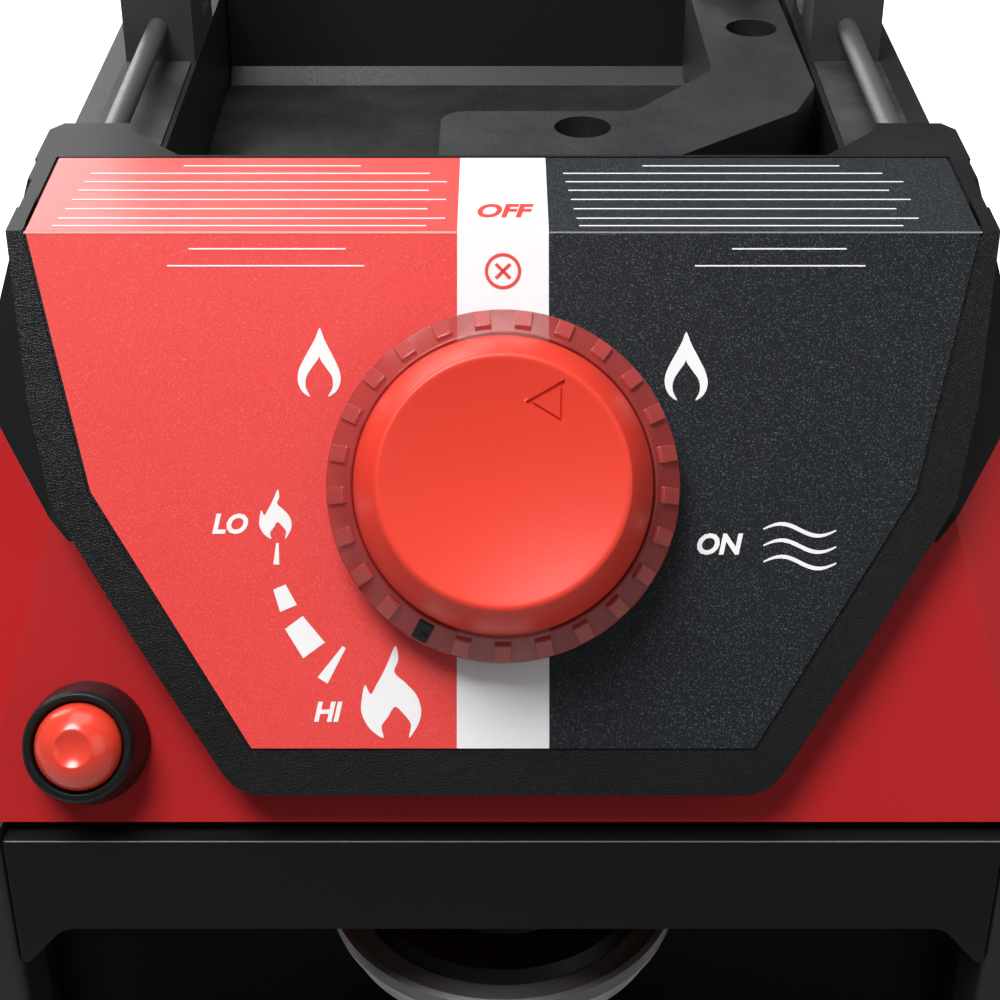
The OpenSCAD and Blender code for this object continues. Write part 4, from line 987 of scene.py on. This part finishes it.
    def _on_slope(self, turn: float, half: float, span: Point2, rise: float, bm: bmesh.types.BMesh) -> None:
        """Add one raised block on the skirt's slope.

        Args:
            turn: its place, clockwise from the panel's top.
            half: half its width.
            span: where it starts and ends up the slope.
            rise: its height over the slope.
            bm: the mesh it is added to.
        """
        low = Vector((self.skirt_radius, self.skirt_edge))
        along = (Vector((self.cap_radius + 0.0006, self.skirt_top)) - low).normalized()
        out = Vector((along.y, -along.x))
        spin = Matrix.Rotation(math.pi / 2 - turn, 4, "Z")
        overlap, sunk = 0.0002, -0.0004
        outline = ((span[0] - overlap, sunk), (span[0], rise), (span[1], rise), (span[1] + overlap, sunk))
        columns = []
        for side in (-half, -half / 3, half / 3, half):
            column = []
            for run, height in outline:
                radius, level = low + along * run + out * height
                spot = Vector((math.sqrt(radius ** 2 - side ** 2), side, level))
                column.append(bm.verts.new(spin @ spot))
            columns.append(column)
        for a, b in zip(columns, columns[1:]):
            for i in range(4):
                j = (i + 1) % 4
                bm.faces.new((a[i], a[j], b[j], b[i]))
        bm.faces.new(columns[0])
        bm.faces.new(list(reversed(columns[-1])))

    def _skirt_blocks(self, name: str, slot: str, finish: Finish, soft: float, turns: Iterable[float],
                      half: float, span: Point2, rise: float) -> None:
        """Make a piece of equal blocks on the skirt.

        Args:
            name: the piece's name.
            slot: the record's material slot.
            finish: their finish.
            soft: width of the rounded edges.
            turns: the place of each block, clockwise from the panel's top.
            half: half the width of a block.
            span: where it starts and ends up the slope.
            rise: its height over the slope.
        """
        bm = bmesh.new()
        for turn in turns:
            self._on_slope(turn, half, span, rise, bm)
        mesh = self.shop.finish_mesh(bm, name, self.panel.matrix(0.0, self.down), 25.0)
        self.shop.soften(self.shop.piece(name, mesh, "knob", slot, finish), soft)

    def build_skirt(self) -> None:
        """Build the bevelled skirt ring, its lugs, and the dark slot with its catch."""
        seat, edge, low = self.cap_radius + 0.0001, self.skirt_radius, self.skirt_low
        ring = self.shop.rounded(
            [(seat, low), (edge, low), (edge, self.skirt_edge), (seat + 0.0006, self.skirt_top - 0.0001),
             (seat + 0.0003, self.skirt_top + 0.0001), (seat, self.skirt_top - 0.0002)],
            [0.0, 0.0004, 0.0006, 0.0003, 0.0002, 0.0], 4, closed=True)
        mesh = self.shop.lathe("knob_skirt_dress", ring, self._place(), 208, 30.0)
        made = self.shop.piece("knob_skirt_dress", mesh, "knob", "smoky_red", SMOKY_RED)
        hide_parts("knob_skirt")
        turns = [self.lug_turn + FULL_TURN * k / self.lugs for k in range(self.lugs)]
        slot_turn = turns.pop(self.slot_lug)
        # The lugs get a lighter copy of the skirt's red as painted highlight.
        self._skirt_blocks("knob_lugs", "smoky_red", SMOKY_RED_PAINTED_HIGHLIGHT, 0.00018, turns,
                           0.00155, (0.0009, 0.0052), 0.0007)
        self._skirt_blocks("knob_slot_insert", "black_plastic", BLACK_SATIN, 0.0002, [slot_turn],
                           0.0015, (0.0006, 0.0056), 0.0003)
        self._skirt_blocks("knob_slot_catch", "black_plastic", BLACK_SATIN, 0.0002, [slot_turn - 0.02],
                           0.0009, (0.0012, 0.0030), 0.0006)

    def build(self) -> None:
        """Build the whole knob and dress the valve below it."""
        self.build_cap()
        self.build_skirt()
        self.shop.dress("valve_stem knob_spring valve_nut", BRIGHT_STEEL)
        self.shop.dress("valve_body valve_rotor", BRASS, 0.0004)


@dataclass
class IgniterAssembly:
    """Push button in a black collar on the red shell."""

    shop: Workshop
    panel: PanelFrame
    across: float = -0.0788
    down: float = 0.0964
    base: float = -0.009
    radius: float = 0.0082
    foot: float = -0.022
    hollow_radius: float = 0.0069
    hollow_top: float = -0.016
    shoulder: float = 0.0008
    dome: float = 0.0056

    def _button_profile(self) -> list[Point2]:
        """Profile of the button: a dome with a shallow dish, hollow below so that its spring has room.

        Returns:
            The points (radius, height).
        """
        first, last, steps = math.radians(8.0), math.radians(65.0), 14
        profile = [(0.0, self.hollow_top), (self.hollow_radius, self.hollow_top),
                   (self.hollow_radius, self.foot), (self.radius, self.foot), (self.radius, self.shoulder)]
        for k in range(steps + 1):
            a = first + (last - first) * k / steps
            rise = (math.sin(a) - math.sin(first)) / (math.sin(last) - math.sin(first))
            profile.append((self.radius * math.cos(a) / math.cos(first),
                            self.shoulder + 0.0004 + self.dome * rise))
        edge, top = profile[-1]
        return profile + [(edge - 0.0002, top - 0.00004), (edge - 0.0006, top - 0.0004), (0.0, top - 0.0005)]

    def build(self) -> None:
        """Build the collar and the domed button."""
        collar = self.shop.rounded(
            [(0.0085, -0.0031), (0.0099, -0.0031), (0.0099, 0.0), (0.0117, 0.0), (0.0117, 0.0015),
             (0.0104, 0.0104), (0.0098, 0.0112), (0.0088, 0.0112), (0.0085, 0.0106)],
            [0, 0, 0, 0.0005, 0.0007, 0.0008, 0.0004, 0.0003, 0.0002], 5, closed=True)
        place = self.panel.matrix(self.across, self.down, self.base)
        mesh = self.shop.lathe("igniter_collar_dress", collar, place, 96, 40.0)
        made = self.shop.piece("igniter_collar_dress", mesh, "frame", "black_plastic", BLACK_SATIN)
        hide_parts("igniter_collar")
        place = self.panel.matrix(self.across, self.down, 0.0)
        mesh = self.shop.lathe("igniter_button_dress", self._button_profile(), place, 96, 45.0)
        made = self.shop.piece("igniter_button_dress", mesh, "igniter_button", "knob_red", BUTTON_RED)
        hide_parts("igniter_button")
        self.shop.dress("igniter_body", BLACK_MATTE, 0.0004)
        self.shop.dress("igniter_spring", BRIGHT_STEEL)
        self.shop.dress("igniter_lead", RUBBER)


@dataclass
class LabelPrint:
    """Printed pictograms, ticks and words of the control label, all of generic form, and a painted highlight
    along its fold.

    Outlines and the places u and v of its methods are in millimetres. v is the distance below the fold
    or, on the level ledge, behind it.
    """

    shop: Workshop
    panel: PanelFrame
    low: float = -0.00012
    high: float = -0.00002
    word_sunk: float = 0.00007
    stripe_half: float = 0.0086
    rule_width: float = 0.18

    @staticmethod
    def curve(points: Sequence[Point2], steps: int = 4) -> list[Point2]:
        """Smooth closed outline through the points.

        Args:
            points: places on the outline.
            steps: pieces between two points.

        Returns:
            The outline.
        """
        result: list[Point2] = []
        count = len(points)
        for i in range(count):
            p = [Vector(points[(i + k - 1) % count]) for k in range(4)]
            for s in range(steps):
                t = s / steps
                square = (2 * p[0] - 5 * p[1] + 4 * p[2] - p[3]) * t ** 2
                cube = (3 * p[1] - p[0] - 3 * p[2] + p[3]) * t ** 3
                spot = 0.5 * (2 * p[1] + (p[2] - p[0]) * t + square + cube)
                result.append((spot.x, spot.y))
        return result

    def _spot(self, u: float, v: float, on_ledge: bool, sunk: float = 0.0) -> Matrix:
        """Matrix of a print's middle.

        Args:
            u: distance across.
            v: distance below the fold, or behind it on the ledge.
            on_ledge: whether it lies on the level ledge.
            sunk: depth in metres.

        Returns:
            The matrix.
        """
        if on_ledge:
            return Matrix.Translation((u * MM, self.panel.fold_y + v * MM, self.panel.ledge_z - sunk))
        return self.panel.matrix(u * MM, v * MM, -sunk)

    def stamp(self, name: str, outlines: Iterable[Sequence[Point2]], u: float = 0.0, v: float = 0.0,
              finish: Finish = PRINT_WHITE, scale: float = 1.0, on_ledge: bool = False) -> None:
        """Print flat outlines on the label.

        Args:
            name: the piece's name.
            outlines: closed outlines, y up.
            u: distance across of their middle.
            v: distance below the fold, or behind it on the ledge.
            finish: the ink.
            scale: size factor.
            on_ledge: whether it lies on the level ledge.
        """
        plates = [[(x * scale * MM, y * scale * MM) for x, y in outline] for outline in outlines]
        mesh = self.shop.plate(name, plates, self.low, self.high, self._spot(u, v, on_ledge))
        self.shop.piece(name, mesh, "frame", "label", finish)

    def flame(self) -> list[list[Point2]]:
        """Outline of a tall flame, 12.7 high and 8 wide, that is hollow below."""
        right = [(0.2, 6.4), (1.0, 4.3), (2.6, 1.2), (3.7, -1.2), (4.0, -3.4), (3.2, -5.3),
                 (1.7, -6.3), (2.5, -4.6), (2.4, -2.6), (1.3, -0.9), (0.3, 0.5), (0.0, 1.4)]
        left = [(-0.2, 6.2), (-0.9, 4.4), (-2.6, 1.3), (-3.8, -1.2), (-4.0, -3.4), (-3.2, -5.3),
                (-1.7, -6.3), (-2.5, -4.6), (-2.4, -2.6), (-1.4, -0.9), (-0.4, 0.5), (0.05, 1.4)]
        return [self.curve(right + list(reversed(left)))]

    def double_flame(self) -> list[list[Point2]]:
        """Outline of a broad flame, 16 high and 10.4 wide, with a small tongue on its left."""
        return [self.curve([
            (0.9, 8.0), (1.4, 5.6), (0.7, 3.4), (2.6, 1.6), (4.6, -0.6), (5.4, -3.2), (4.9, -5.6),
            (3.3, -8.0), (3.6, -5.6), (2.2, -3.7), (0.8, -2.6), (-0.4, -4.4), (-1.5, -6.0), (-1.2, -8.0),
            (-3.6, -6.3), (-5.0, -3.6), (-4.9, -1.0), (-4.4, 1.2), (-3.4, -0.4), (-2.4, 1.2),
            (-1.2, 3.4), (-0.2, 5.6)])]

    @staticmethod
    def ring(radius: float, width: float, steps: int = 48) -> list[list[Point2]]:
        """Ring made of short quads.

        Args:
            radius: middle radius.
            width: line width.
            steps: number of quads.

        Returns:
            The quads.
        """
        inner, outer = radius - width / 2, radius + width / 2
        quads = []
        for k in range(steps):
            a, b = FULL_TURN * k / steps, FULL_TURN * (k + 1) / steps
            quads.append([(r * math.cos(t), r * math.sin(t))
                          for r, t in ((inner, a), (outer, a), (outer, b), (inner, b))])
        return quads

    @staticmethod
    def bar(start: Point2, end: Point2, width: float, end_width: float | None = None) -> list[Point2]:
        """Straight stroke between two points.

        Args:
            start: where it starts.
            end: where it ends.
            width: width at the start.
            end_width: width at the end, as at the start if left out.

        Returns:
            The stroke's outline.
        """
        end_width = width if end_width is None else end_width
        (x0, y0), (x1, y1) = start, end
        along = Vector((x1 - x0, y1 - y0)).normalized()
        n = Vector((-along.y, along.x))
        return [(x0 + n.x * width / 2, y0 + n.y * width / 2), (x0 - n.x * width / 2, y0 - n.y * width / 2),
                (x1 - n.x * end_width / 2, y1 - n.y * end_width / 2),
                (x1 + n.x * end_width / 2, y1 + n.y * end_width / 2)]

    @staticmethod
    def wave(length: float, height: float, width: float, steps: int = 20) -> list[Point2]:
        """One wavy stroke with thin ends.

        Args:
            length: length across.
            height: height of the wave.
            width: line width in its middle.
            steps: points along it.

        Returns:
            The outline.
        """
        upper, lower = [], []
        for k in range(steps + 1):
            t = k / steps
            x = (t - 0.5) * length
            y = height * math.sin(FULL_TURN * t) - 0.25 * height * t
            half = width * (0.35 + 0.65 * math.sin(math.pi * t)) / 2
            upper.append((x, y + half))
            lower.append((x, y - half))
        return lower + list(reversed(upper))

    def word(self, name: str, text: str, size: float, u: float, v: float, finish: Finish = PRINT_WHITE,
             on_ledge: bool = False, tall: float = 1.0, wide: float = 1.0) -> None:
        """Print a short slanted word.

        Args:
            name: the piece's name.
            text: the letters, ON, OFF, LO, HI or numbers only.
            size: letter height.
            u: distance across of its middle.
            v: distance below the fold, or behind it on the ledge.
            finish: the ink.
            on_ledge: whether it lies on the ledge.
            tall: stretch of the letters' height.
            wide: stretch of their width.
        """
        font = bpy.data.curves.new(name, "FONT")
        font.body = text
        font.align_x, font.align_y = "CENTER", "CENTER"
        font.size = size * 1.38 * MM
        font.shear = 0.22
        font.offset = 0.05 * size * MM
        font.extrude = 0.00004
        font.resolution_u = 3
        words = bpy.data.objects.new(name, font)
        bpy.context.scene.collection.objects.link(words)
        bpy.context.view_layer.update()
        graph = bpy.context.evaluated_depsgraph_get()
        mesh = bpy.data.meshes.new_from_object(words.evaluated_get(graph))
        bpy.data.objects.remove(words)
        mesh.transform(self._spot(u, v, on_ledge, self.word_sunk) @ Matrix.Diagonal((wide, tall, 1.0, 1.0)))
        mesh.materials.clear()
        self.shop.piece(name, mesh, "frame", "label", finish)

    def rules(self, name: str, left: float, right: float, rows: Sequence[float], on_ledge: bool,
              slope: float = 0.0) -> None:
        """Print plain hairlines where the real label has its fine print.

        Args:
            name: the piece's name.
            left: left end.
            right: right end.
            rows: distance of each line below the fold, or behind it on the ledge.
            on_ledge: whether they lie on the ledge.
            slope: extra length per row at the left end.
        """
        width = self.rule_width * (2.2 if on_ledge else 1.5)
        bars = []
        for k, row in enumerate(rows):
            y = row if on_ledge else -row
            bars.append(self.bar((left - slope * k, y), (right + (1.0 if k % 2 else -2.5), y), width))
        self.stamp(name, bars, on_ledge=on_ledge)

    def build(self) -> None:
        """Print the whole label."""
        self.shop.dress("control_label", self.shop.paint.two_tone_label(self.panel, self.stripe_half))
        self.word("print_off", "OFF", 3.0, -0.2, 9.0, PRINT_RED, on_ledge=True, tall=2.0, wide=1.42)
        arm, line = 1.35, 0.62
        cross = [self.bar((-arm, -arm), (arm, arm), line), self.bar((-arm, arm), (arm, -arm), line)]
        self.stamp("print_closed", self.ring(3.1, line) + cross, 0.0, 7.6, PRINT_RED)
        self.stamp("print_flame_left", self.flame(), -34.4, 24.9)
        self.stamp("print_flame_right", self.flame(), 34.3, 25.6)
        self.stamp("print_flame_low", self.double_flame(), -42.6, 53.2, scale=0.58)
        self.stamp("print_flame_high", self.double_flame(), -21.0, 86.3, scale=1.07)
        self.stamp("print_ticks", [self.bar((-42.1, -58.6), (-42.3, -62.6), 0.5, 1.1),
                                   self.bar((-41.7, -66.8), (-40.0, -70.8), 2.5, 3.4),
                                   self.bar((-39.0, -73.4), (-35.2, -78.6), 4.1, 5.0)])
        self.stamp("print_tick_last", [self.bar((-29.6, -78.0), (-33.6, -84.2), 0.7, 2.2)])
        for k in range(3):
            self.stamp(f"print_wave_{k}", [self.wave(13.6, 1.05, 0.85)], 55.4, 56.0 + 3.05 * k)
        self.word("print_lo", "LO", 3.6, -51.2, 55.2)
        self.word("print_hi", "HI", 3.6, -32.9, 90.2)
        self.word("print_on", "ON", 3.8, 40.0, 59.0)
        # Painted highlight along the label's fold, drawn as two thin strips.
        self.stamp("fold_painted_highlight_left", [self.bar((-90.0, -0.30), (-8.7, -0.30), 0.42)], finish=PAINTED_HIGHLIGHT_PALE)
        self.stamp("fold_painted_highlight_right", [self.bar((8.7, -0.30), (90.0, -0.30), 0.30)], finish=PAINTED_HIGHLIGHT_GREY)
        heads, body, below = (31.2,), (27.4, 23.2, 19.0, 14.6, 10.2, 5.8, 2.4), (3.4, 6.6)
        self.rules("rules_ledge_left", -82.0, -12.0, body, True, 0.5)
        self.rules("rules_ledge_right", 12.0, 78.0, body, True, -0.4)
        self.rules("rules_ledge_heads", -64.0, -26.0, heads, True)
        self.rules("rules_ledge_heads_right", 28.0, 70.0, heads, True)
        self.rules("rules_heater", -59.0, -27.0, below, False, 4.0)
        self.rules("rules_accessory", 43.0, 67.0, below, False, 7.0)


@dataclass
class Shell:
    """Black upper housing, red lower housing, caps, apron and side panels."""

    shop: Workshop
    panel: PanelFrame
    bezel: float = 0.009
    band_half: float = 0.0945
    band_edge: Point3 = (0.0, -0.12695, 0.27985)
    band_line: float = 0.00016
    frame_y: float = 0.1299
    screw_x: float = 0.1050
    screw_z: tuple[float, float] = (0.036, 0.262)
    screw_radius: float = 0.0034

    def build(self) -> None:
        """Dress the shell's nodes and add the painted highlight line on the band's edge, and the screws."""
        self.shop.dress("upper_housing", self.shop.paint.housing_skin(self.panel, self.bezel), 0.0007, 25.0)
        self.shop.dress("lower_housing side_caps", RED_SHELL, 0.0006, 20.0)
        self.shop.dress_all((
            ("front_apron", BAND_BLACK, 0.0006),
            ("side_panel_left side_panel_right face_frame base_tray", BLACK_MATTE, 0.0008),
            ("rubber_feet", RUBBER, 0.0006),
            ("heat_shield", SHIELD_PAINT, 0.0003),
            # The bulkhead is made extra dark as painted shade under the band.
            ("bulkhead", DEEP_BLACK, 0.0003),
            ("housing_screws", DARK_STEEL, 0.0002),
        ))
        self.build_band_edge_highlight()
        self.build_frame_screws()

    def build_band_edge_highlight(self) -> None:
        """Build a thin painted highlight line along the band's upper front edge."""
        bm = bmesh.new()
        place = Matrix.Translation(self.band_edge) @ Matrix.Rotation(math.pi / 2, 4, "Y")
        bmesh.ops.create_cone(bm, cap_ends=True, segments=8, radius1=self.band_line, radius2=self.band_line,
                              depth=2 * self.band_half, matrix=place)
        mesh = self.shop.finish_mesh(bm, "band_edge_highlight", None, 60.0)
        self.shop.piece("band_edge_highlight", mesh, "frame", "black_plastic", EDGE_PAINTED_HIGHLIGHT)

    def build_frame_screws(self) -> None:
        """Build the screws that hold the face frame."""
        outward = Matrix.Rotation(-math.pi / 2, 4, "X")
        places = [Matrix.Translation((side * self.screw_x, self.frame_y, level)) @ outward
                  for side in (-1, 1) for level in self.screw_z]
        self.shop.screws("frame_screws", places, self.screw_radius, "dark_steel", DARK_STEEL)


@dataclass
class AccessoryBay:
    """Rails, posts, steel rods, the gas arm and its outlet."""

    shop: Workshop
    rail_z: float = 0.3654
    strip_x: tuple[float, float] = (0.0762, 0.0925)
    strip_y: tuple[float, float] = (-0.0150, 0.0605)
    strip_sunk: float = 0.0002
    strip_rise: float = 0.0006
    strip_corner: float = 0.001

    def build_strips(self) -> None:
        """Build the raised grip strips on the rails under the rods."""
        (x0, x1), (y0, y1) = self.strip_x, self.strip_y
        low, high = self.rail_z - self.strip_sunk, self.rail_z + self.strip_rise
        corners = [(x0, y0), (x1, y0), (x1, y1), (x0, y1)]
        outline = self.shop.rounded(corners, [self.strip_corner] * 4, 3, closed=True)
        for side, name in ((-1, "rail_strip_left"), (1, "rail_strip_right")):
            mirrored = [(side * x, y) for x, y in outline]
            mesh = self.shop.plate(name, [mirrored], low, high, Matrix.Identity(4))
            self.shop.piece(name, mesh, "frame", "black_plastic", STRIP_BLACK)

    def build(self) -> None:
        """Add the strips and dress the bay's nodes."""
        self.build_strips()
        self.shop.dress_all((
            ("side_rail_left side_rail_right", BLACK_MATTE, 0.0008),
            # The posts get a lightened black as painted light.
            ("post_left post_right", POST_BLACK_PAINTED_LIGHT, 0.0010),
            ("guard_rods", ROD_STEEL, 0.0),
            ("arm_lower arm_upper", ARM_PAINT, 0.0008),
            ("arm_screws", ZINC_STEEL, 0.0002),
            ("outlet_socket", BRASS, 0.0003),
            ("outlet_sleeve", BRIGHT_STEEL, 0.0002),
            ("feed_tube", COPPER, 0.0),
        ))


@dataclass
class GasTrain:
    """Regulator, its inlet and the tubes."""

    shop: Workshop
    axis_y: float = -0.0875
    rim_radius: float = 0.0312

    def build(self) -> None:
        """Dress the gas train's nodes."""
        cover = self.shop.paint.ringed("regulator_cover", DEEP_BLACK, COVER_STEEL, self.axis_y,
                                       self.rim_radius)
        self.shop.dress("regulator_cover", cover, 0.0003)
        self.shop.dress_all((
            ("regulator_body", CAST_GREY, 0.0005),
            ("regulator_inlet main_orifice", BRASS, 0.0004),
            ("inlet_seal", RUBBER, 0.0002),
            ("regulator_bracket", DARK_STEEL, 0.0003),
            ("supply_tube burner_tube pilot_tube thermocouple", COPPER, 0.0),
            ("cylinder_clip", BRIGHT_STEEL, 0.0003),
            ("tip_switch", SWITCH_GREY, 0.0005),
        ))


@dataclass
class Burner:
    """Reflector, plaques, their frame, the pilot and the wire guard."""

    shop: Workshop
    hole_step: float = 0.0030

    def build(self) -> None:
        """Dress the burner's nodes."""
        self.shop.dress("ceramic_plaques", self.shop.paint.burner_face(self.hole_step))
        self.shop.dress_all((
            ("reflector", MIRROR_STEEL, 0.0003),
            ("burner_plenum plaque_frame", BURNER_PAINT, 0.0004),
            ("mixing_tube", ZINC_STEEL, 0.0),
            ("pilot_burner", BRIGHT_STEEL, 0.0002),
            ("electrode", PORCELAIN, 0.0),
            ("wire_guard", GUARD_STEEL, 0.0),
        ))


@dataclass
class CarryHandle:
    """Swinging steel bail with a soft ribbed grip."""

    shop: Workshop
    pivot: tuple[float, float] = (0.079, 0.412)
    reach: float = 0.098
    lean: float = math.radians(12.0)
    half: float = 0.062
    bore: float = 0.0041
    end_radius: float = 0.0098
    grip_radius: float = 0.0112
    wave_height: float = 0.0011
    wave_length: float = 0.024
    rib_depth: float = 0.00035
    rib_pitch: float = 0.004
    plain_end: float = 0.007

    def build_grip(self) -> None:
        """Build the soft grip with finger waves and fine ribs."""
        place = (Matrix.Translation((0.0, self.pivot[0], self.pivot[1])) @ Matrix.Rotation(-self.lean, 4, "X")
                 @ Matrix.Translation((0.0, 0.0, self.reach)) @ Matrix.Rotation(math.pi / 2, 4, "Y"))
        corner, shoulder, steps = 0.0008, 0.0108, 186
        start = -self.half + 1.5 * corner
        middle: list[Point2] = []
        for k in range(steps + 1):
            x = start - 2 * start * k / steps
            wave = self.grip_radius + self.wave_height * math.cos(x * FULL_TURN / self.wave_length)
            ribbed = abs(x) < self.half - self.plain_end
            rib = self.rib_depth * max(0.0, math.cos(x * FULL_TURN / self.rib_pitch)) if ribbed else 0.0
            middle.append((wave - rib - 0.0001, x))
        end = [(shoulder, self.half - corner), (self.end_radius, self.half), (self.bore, self.half)]
        profile = [(radius, -x) for radius, x in reversed(end)] + middle + end
        mesh = self.shop.lathe("handle_grip_dress", profile, place, 64, 50.0)
        made = self.shop.piece("handle_grip_dress", mesh, "handle", "rubber", RUBBER)
        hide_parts("handle_grip")

    def build(self) -> None:
        """Build the grip and dress the bail and pins."""
        self.build_grip()
        self.shop.dress("handle_bail", DARK_STEEL, 0.0006)
        self.shop.dress("handle_pins", ZINC_STEEL, 0.0004)


# ---------------------------------------------------------------- studio


@dataclass(frozen=True)
class Lamp:
    """One soft round lamp that faces its aim."""

    name: str
    place: Point3
    aim: Point3
    size: float
    power: float


@dataclass
class Studio:
    """Camera, floor, backdrop and lamps."""

    camera_place: Point3 = (-0.00056, -0.4225, 0.541)
    look_down: float = math.radians(32.0)
    lens: float = 73.8
    floor_half: float = 4.0
    floor_grey: Colour = (0.46, 0.46, 0.46)
    glow_near: float = 0.30
    glow_far: float = 0.90
    glow_low: float = 0.58
    glow_rise: float = 0.50
    world_tone: Colour = (0.80, 0.82, 0.85)
    world_strength: float = 0.16
    lamps: Sequence[Lamp] = field(default_factory=lambda: (
        Lamp("key", (-0.38, -0.45, 1.62), (0.0, -0.08, 0.34), 0.7, 23.0),
        Lamp("fill", (1.05, -0.85, 0.95), (0.0, -0.05, 0.30), 1.2, 3.0),
        Lamp("top", (0.0, 0.45, 1.75), (0.0, 0.0, 0.35), 1.2, 8.0),
        Lamp("rear", (-0.8, 1.3, 0.9), (0.0, 0.1, 0.25), 1.2, 14.0),
    ))

    def build_camera(self) -> None:
        """Set the camera where the photograph was taken from."""
        data = bpy.data.cameras.new("camera")
        data.lens, data.sensor_width, data.clip_start = self.lens, 36.0, 0.01
        camera = bpy.data.objects.new("camera", data)
        camera.location = self.camera_place
        camera.rotation_euler = (math.pi / 2 - self.look_down, 0.0, 0.0)
        bpy.context.scene.collection.objects.link(camera)
        bpy.context.scene.camera = camera

    def _floor_material(self) -> bpy.types.Material:
        """Pale floor that glows white to the camera away from the object, so its shadow stays.

        Returns:
            The material.
        """
        made = bpy.data.materials.new("floor_pale")
        made.use_nodes = True
        made.node_tree.nodes.clear()
        bench = NodeBench(made.node_tree)
        shader = bench.add("ShaderNodeBsdfPrincipled", {"Base Color": self.floor_grey, "Roughness": 0.7})
        away = bench.add("ShaderNodeVectorMath", {0: bench.place()}, operation="LENGTH").outputs["Value"]
        reach = bench.maths("DIVIDE", bench.minus(away, self.glow_near), self.glow_far - self.glow_near, True)
        strength = bench.plus(bench.times(reach, self.glow_rise), self.glow_low)
        glow = bench.add("ShaderNodeEmission", {"Strength": strength})
        dark = bench.add("ShaderNodeEmission", {"Strength": 0.0})
        pick = bench.add("ShaderNodeMixShader", {0: bench.shown(), 1: dark.outputs[0], 2: glow.outputs[0]})
        both = bench.add("ShaderNodeAddShader", {0: shader.outputs[0], 1: pick.outputs[0]})
        bench.add("ShaderNodeOutputMaterial", {"Surface": both.outputs[0]})
        return made

    def build_floor(self) -> None:
        """Lay the wide pale floor."""
        bm = bmesh.new()
        bmesh.ops.create_grid(bm, x_segments=8, y_segments=8, size=self.floor_half)
        mesh = bpy.data.meshes.new("floor")
        bm.to_mesh(mesh)
        bm.free()
        floor = bpy.data.objects.new("floor", mesh)
        floor.location = (0.0, 0.0, -0.0002)
        bpy.context.scene.collection.objects.link(floor)
        mesh.materials.append(self._floor_material())

    def build_world(self) -> None:
        """Make the surroundings pale, and white to the camera."""
        world = bpy.data.worlds.new("studio")
        bpy.context.scene.world = world
        world.use_nodes = True
        world.node_tree.nodes.clear()
        bench = NodeBench(world.node_tree)
        soft = bench.add("ShaderNodeBackground",
                         {"Color": self.world_tone, "Strength": self.world_strength})
        white = bench.add("ShaderNodeBackground", {"Color": (1.0, 1.0, 1.0), "Strength": 1.0})
        blend = bench.add("ShaderNodeMixShader",
                          {0: bench.shown(), 1: soft.outputs[0], 2: white.outputs[0]})
        bench.add("ShaderNodeOutputWorld", {"Surface": blend.outputs[0]})

    def build_lamps(self) -> None:
        """Hang the soft lamps."""
        for spec in self.lamps:
            data = bpy.data.lights.new(spec.name, "AREA")
            data.shape, data.size, data.energy = "DISK", spec.size, spec.power
            lamp = bpy.data.objects.new(spec.name, data)
            lamp.location = spec.place
            lamp.rotation_euler = (Vector(spec.aim) - Vector(spec.place)).to_track_quat("-Z", "Y").to_euler()
            bpy.context.scene.collection.objects.link(lamp)

    def build(self) -> None:
        """Set up the whole studio."""
        self.build_camera()
        self.build_floor()
        self.build_world()
        self.build_lamps()
        bpy.context.scene.view_settings.view_transform = "Standard"


def main() -> None:
    """Build every sub-assembly and the studio."""
    logging.basicConfig(level=logging.INFO, format="%(name)s: %(message)s")
    panel = PanelFrame()
    shop = Workshop(Paintshop())
    builders: list[tuple[str, Callable[[], None]]] = [
        ("studio", Studio().build),
        ("shell", Shell(shop, panel).build),
        ("label", LabelPrint(shop, panel).build),
        ("knob", KnobAssembly(shop, panel).build),
        ("igniter", IgniterAssembly(shop, panel).build),
        ("bay", AccessoryBay(shop).build),
        ("gas train", GasTrain(shop).build),
        ("burner", Burner(shop).build),
        ("handle", CarryHandle(shop).build),
    ]
    for name, build in builders:
        build()
        LOG.info("built the %s", name)


if __name__ == "__main__":
    main()
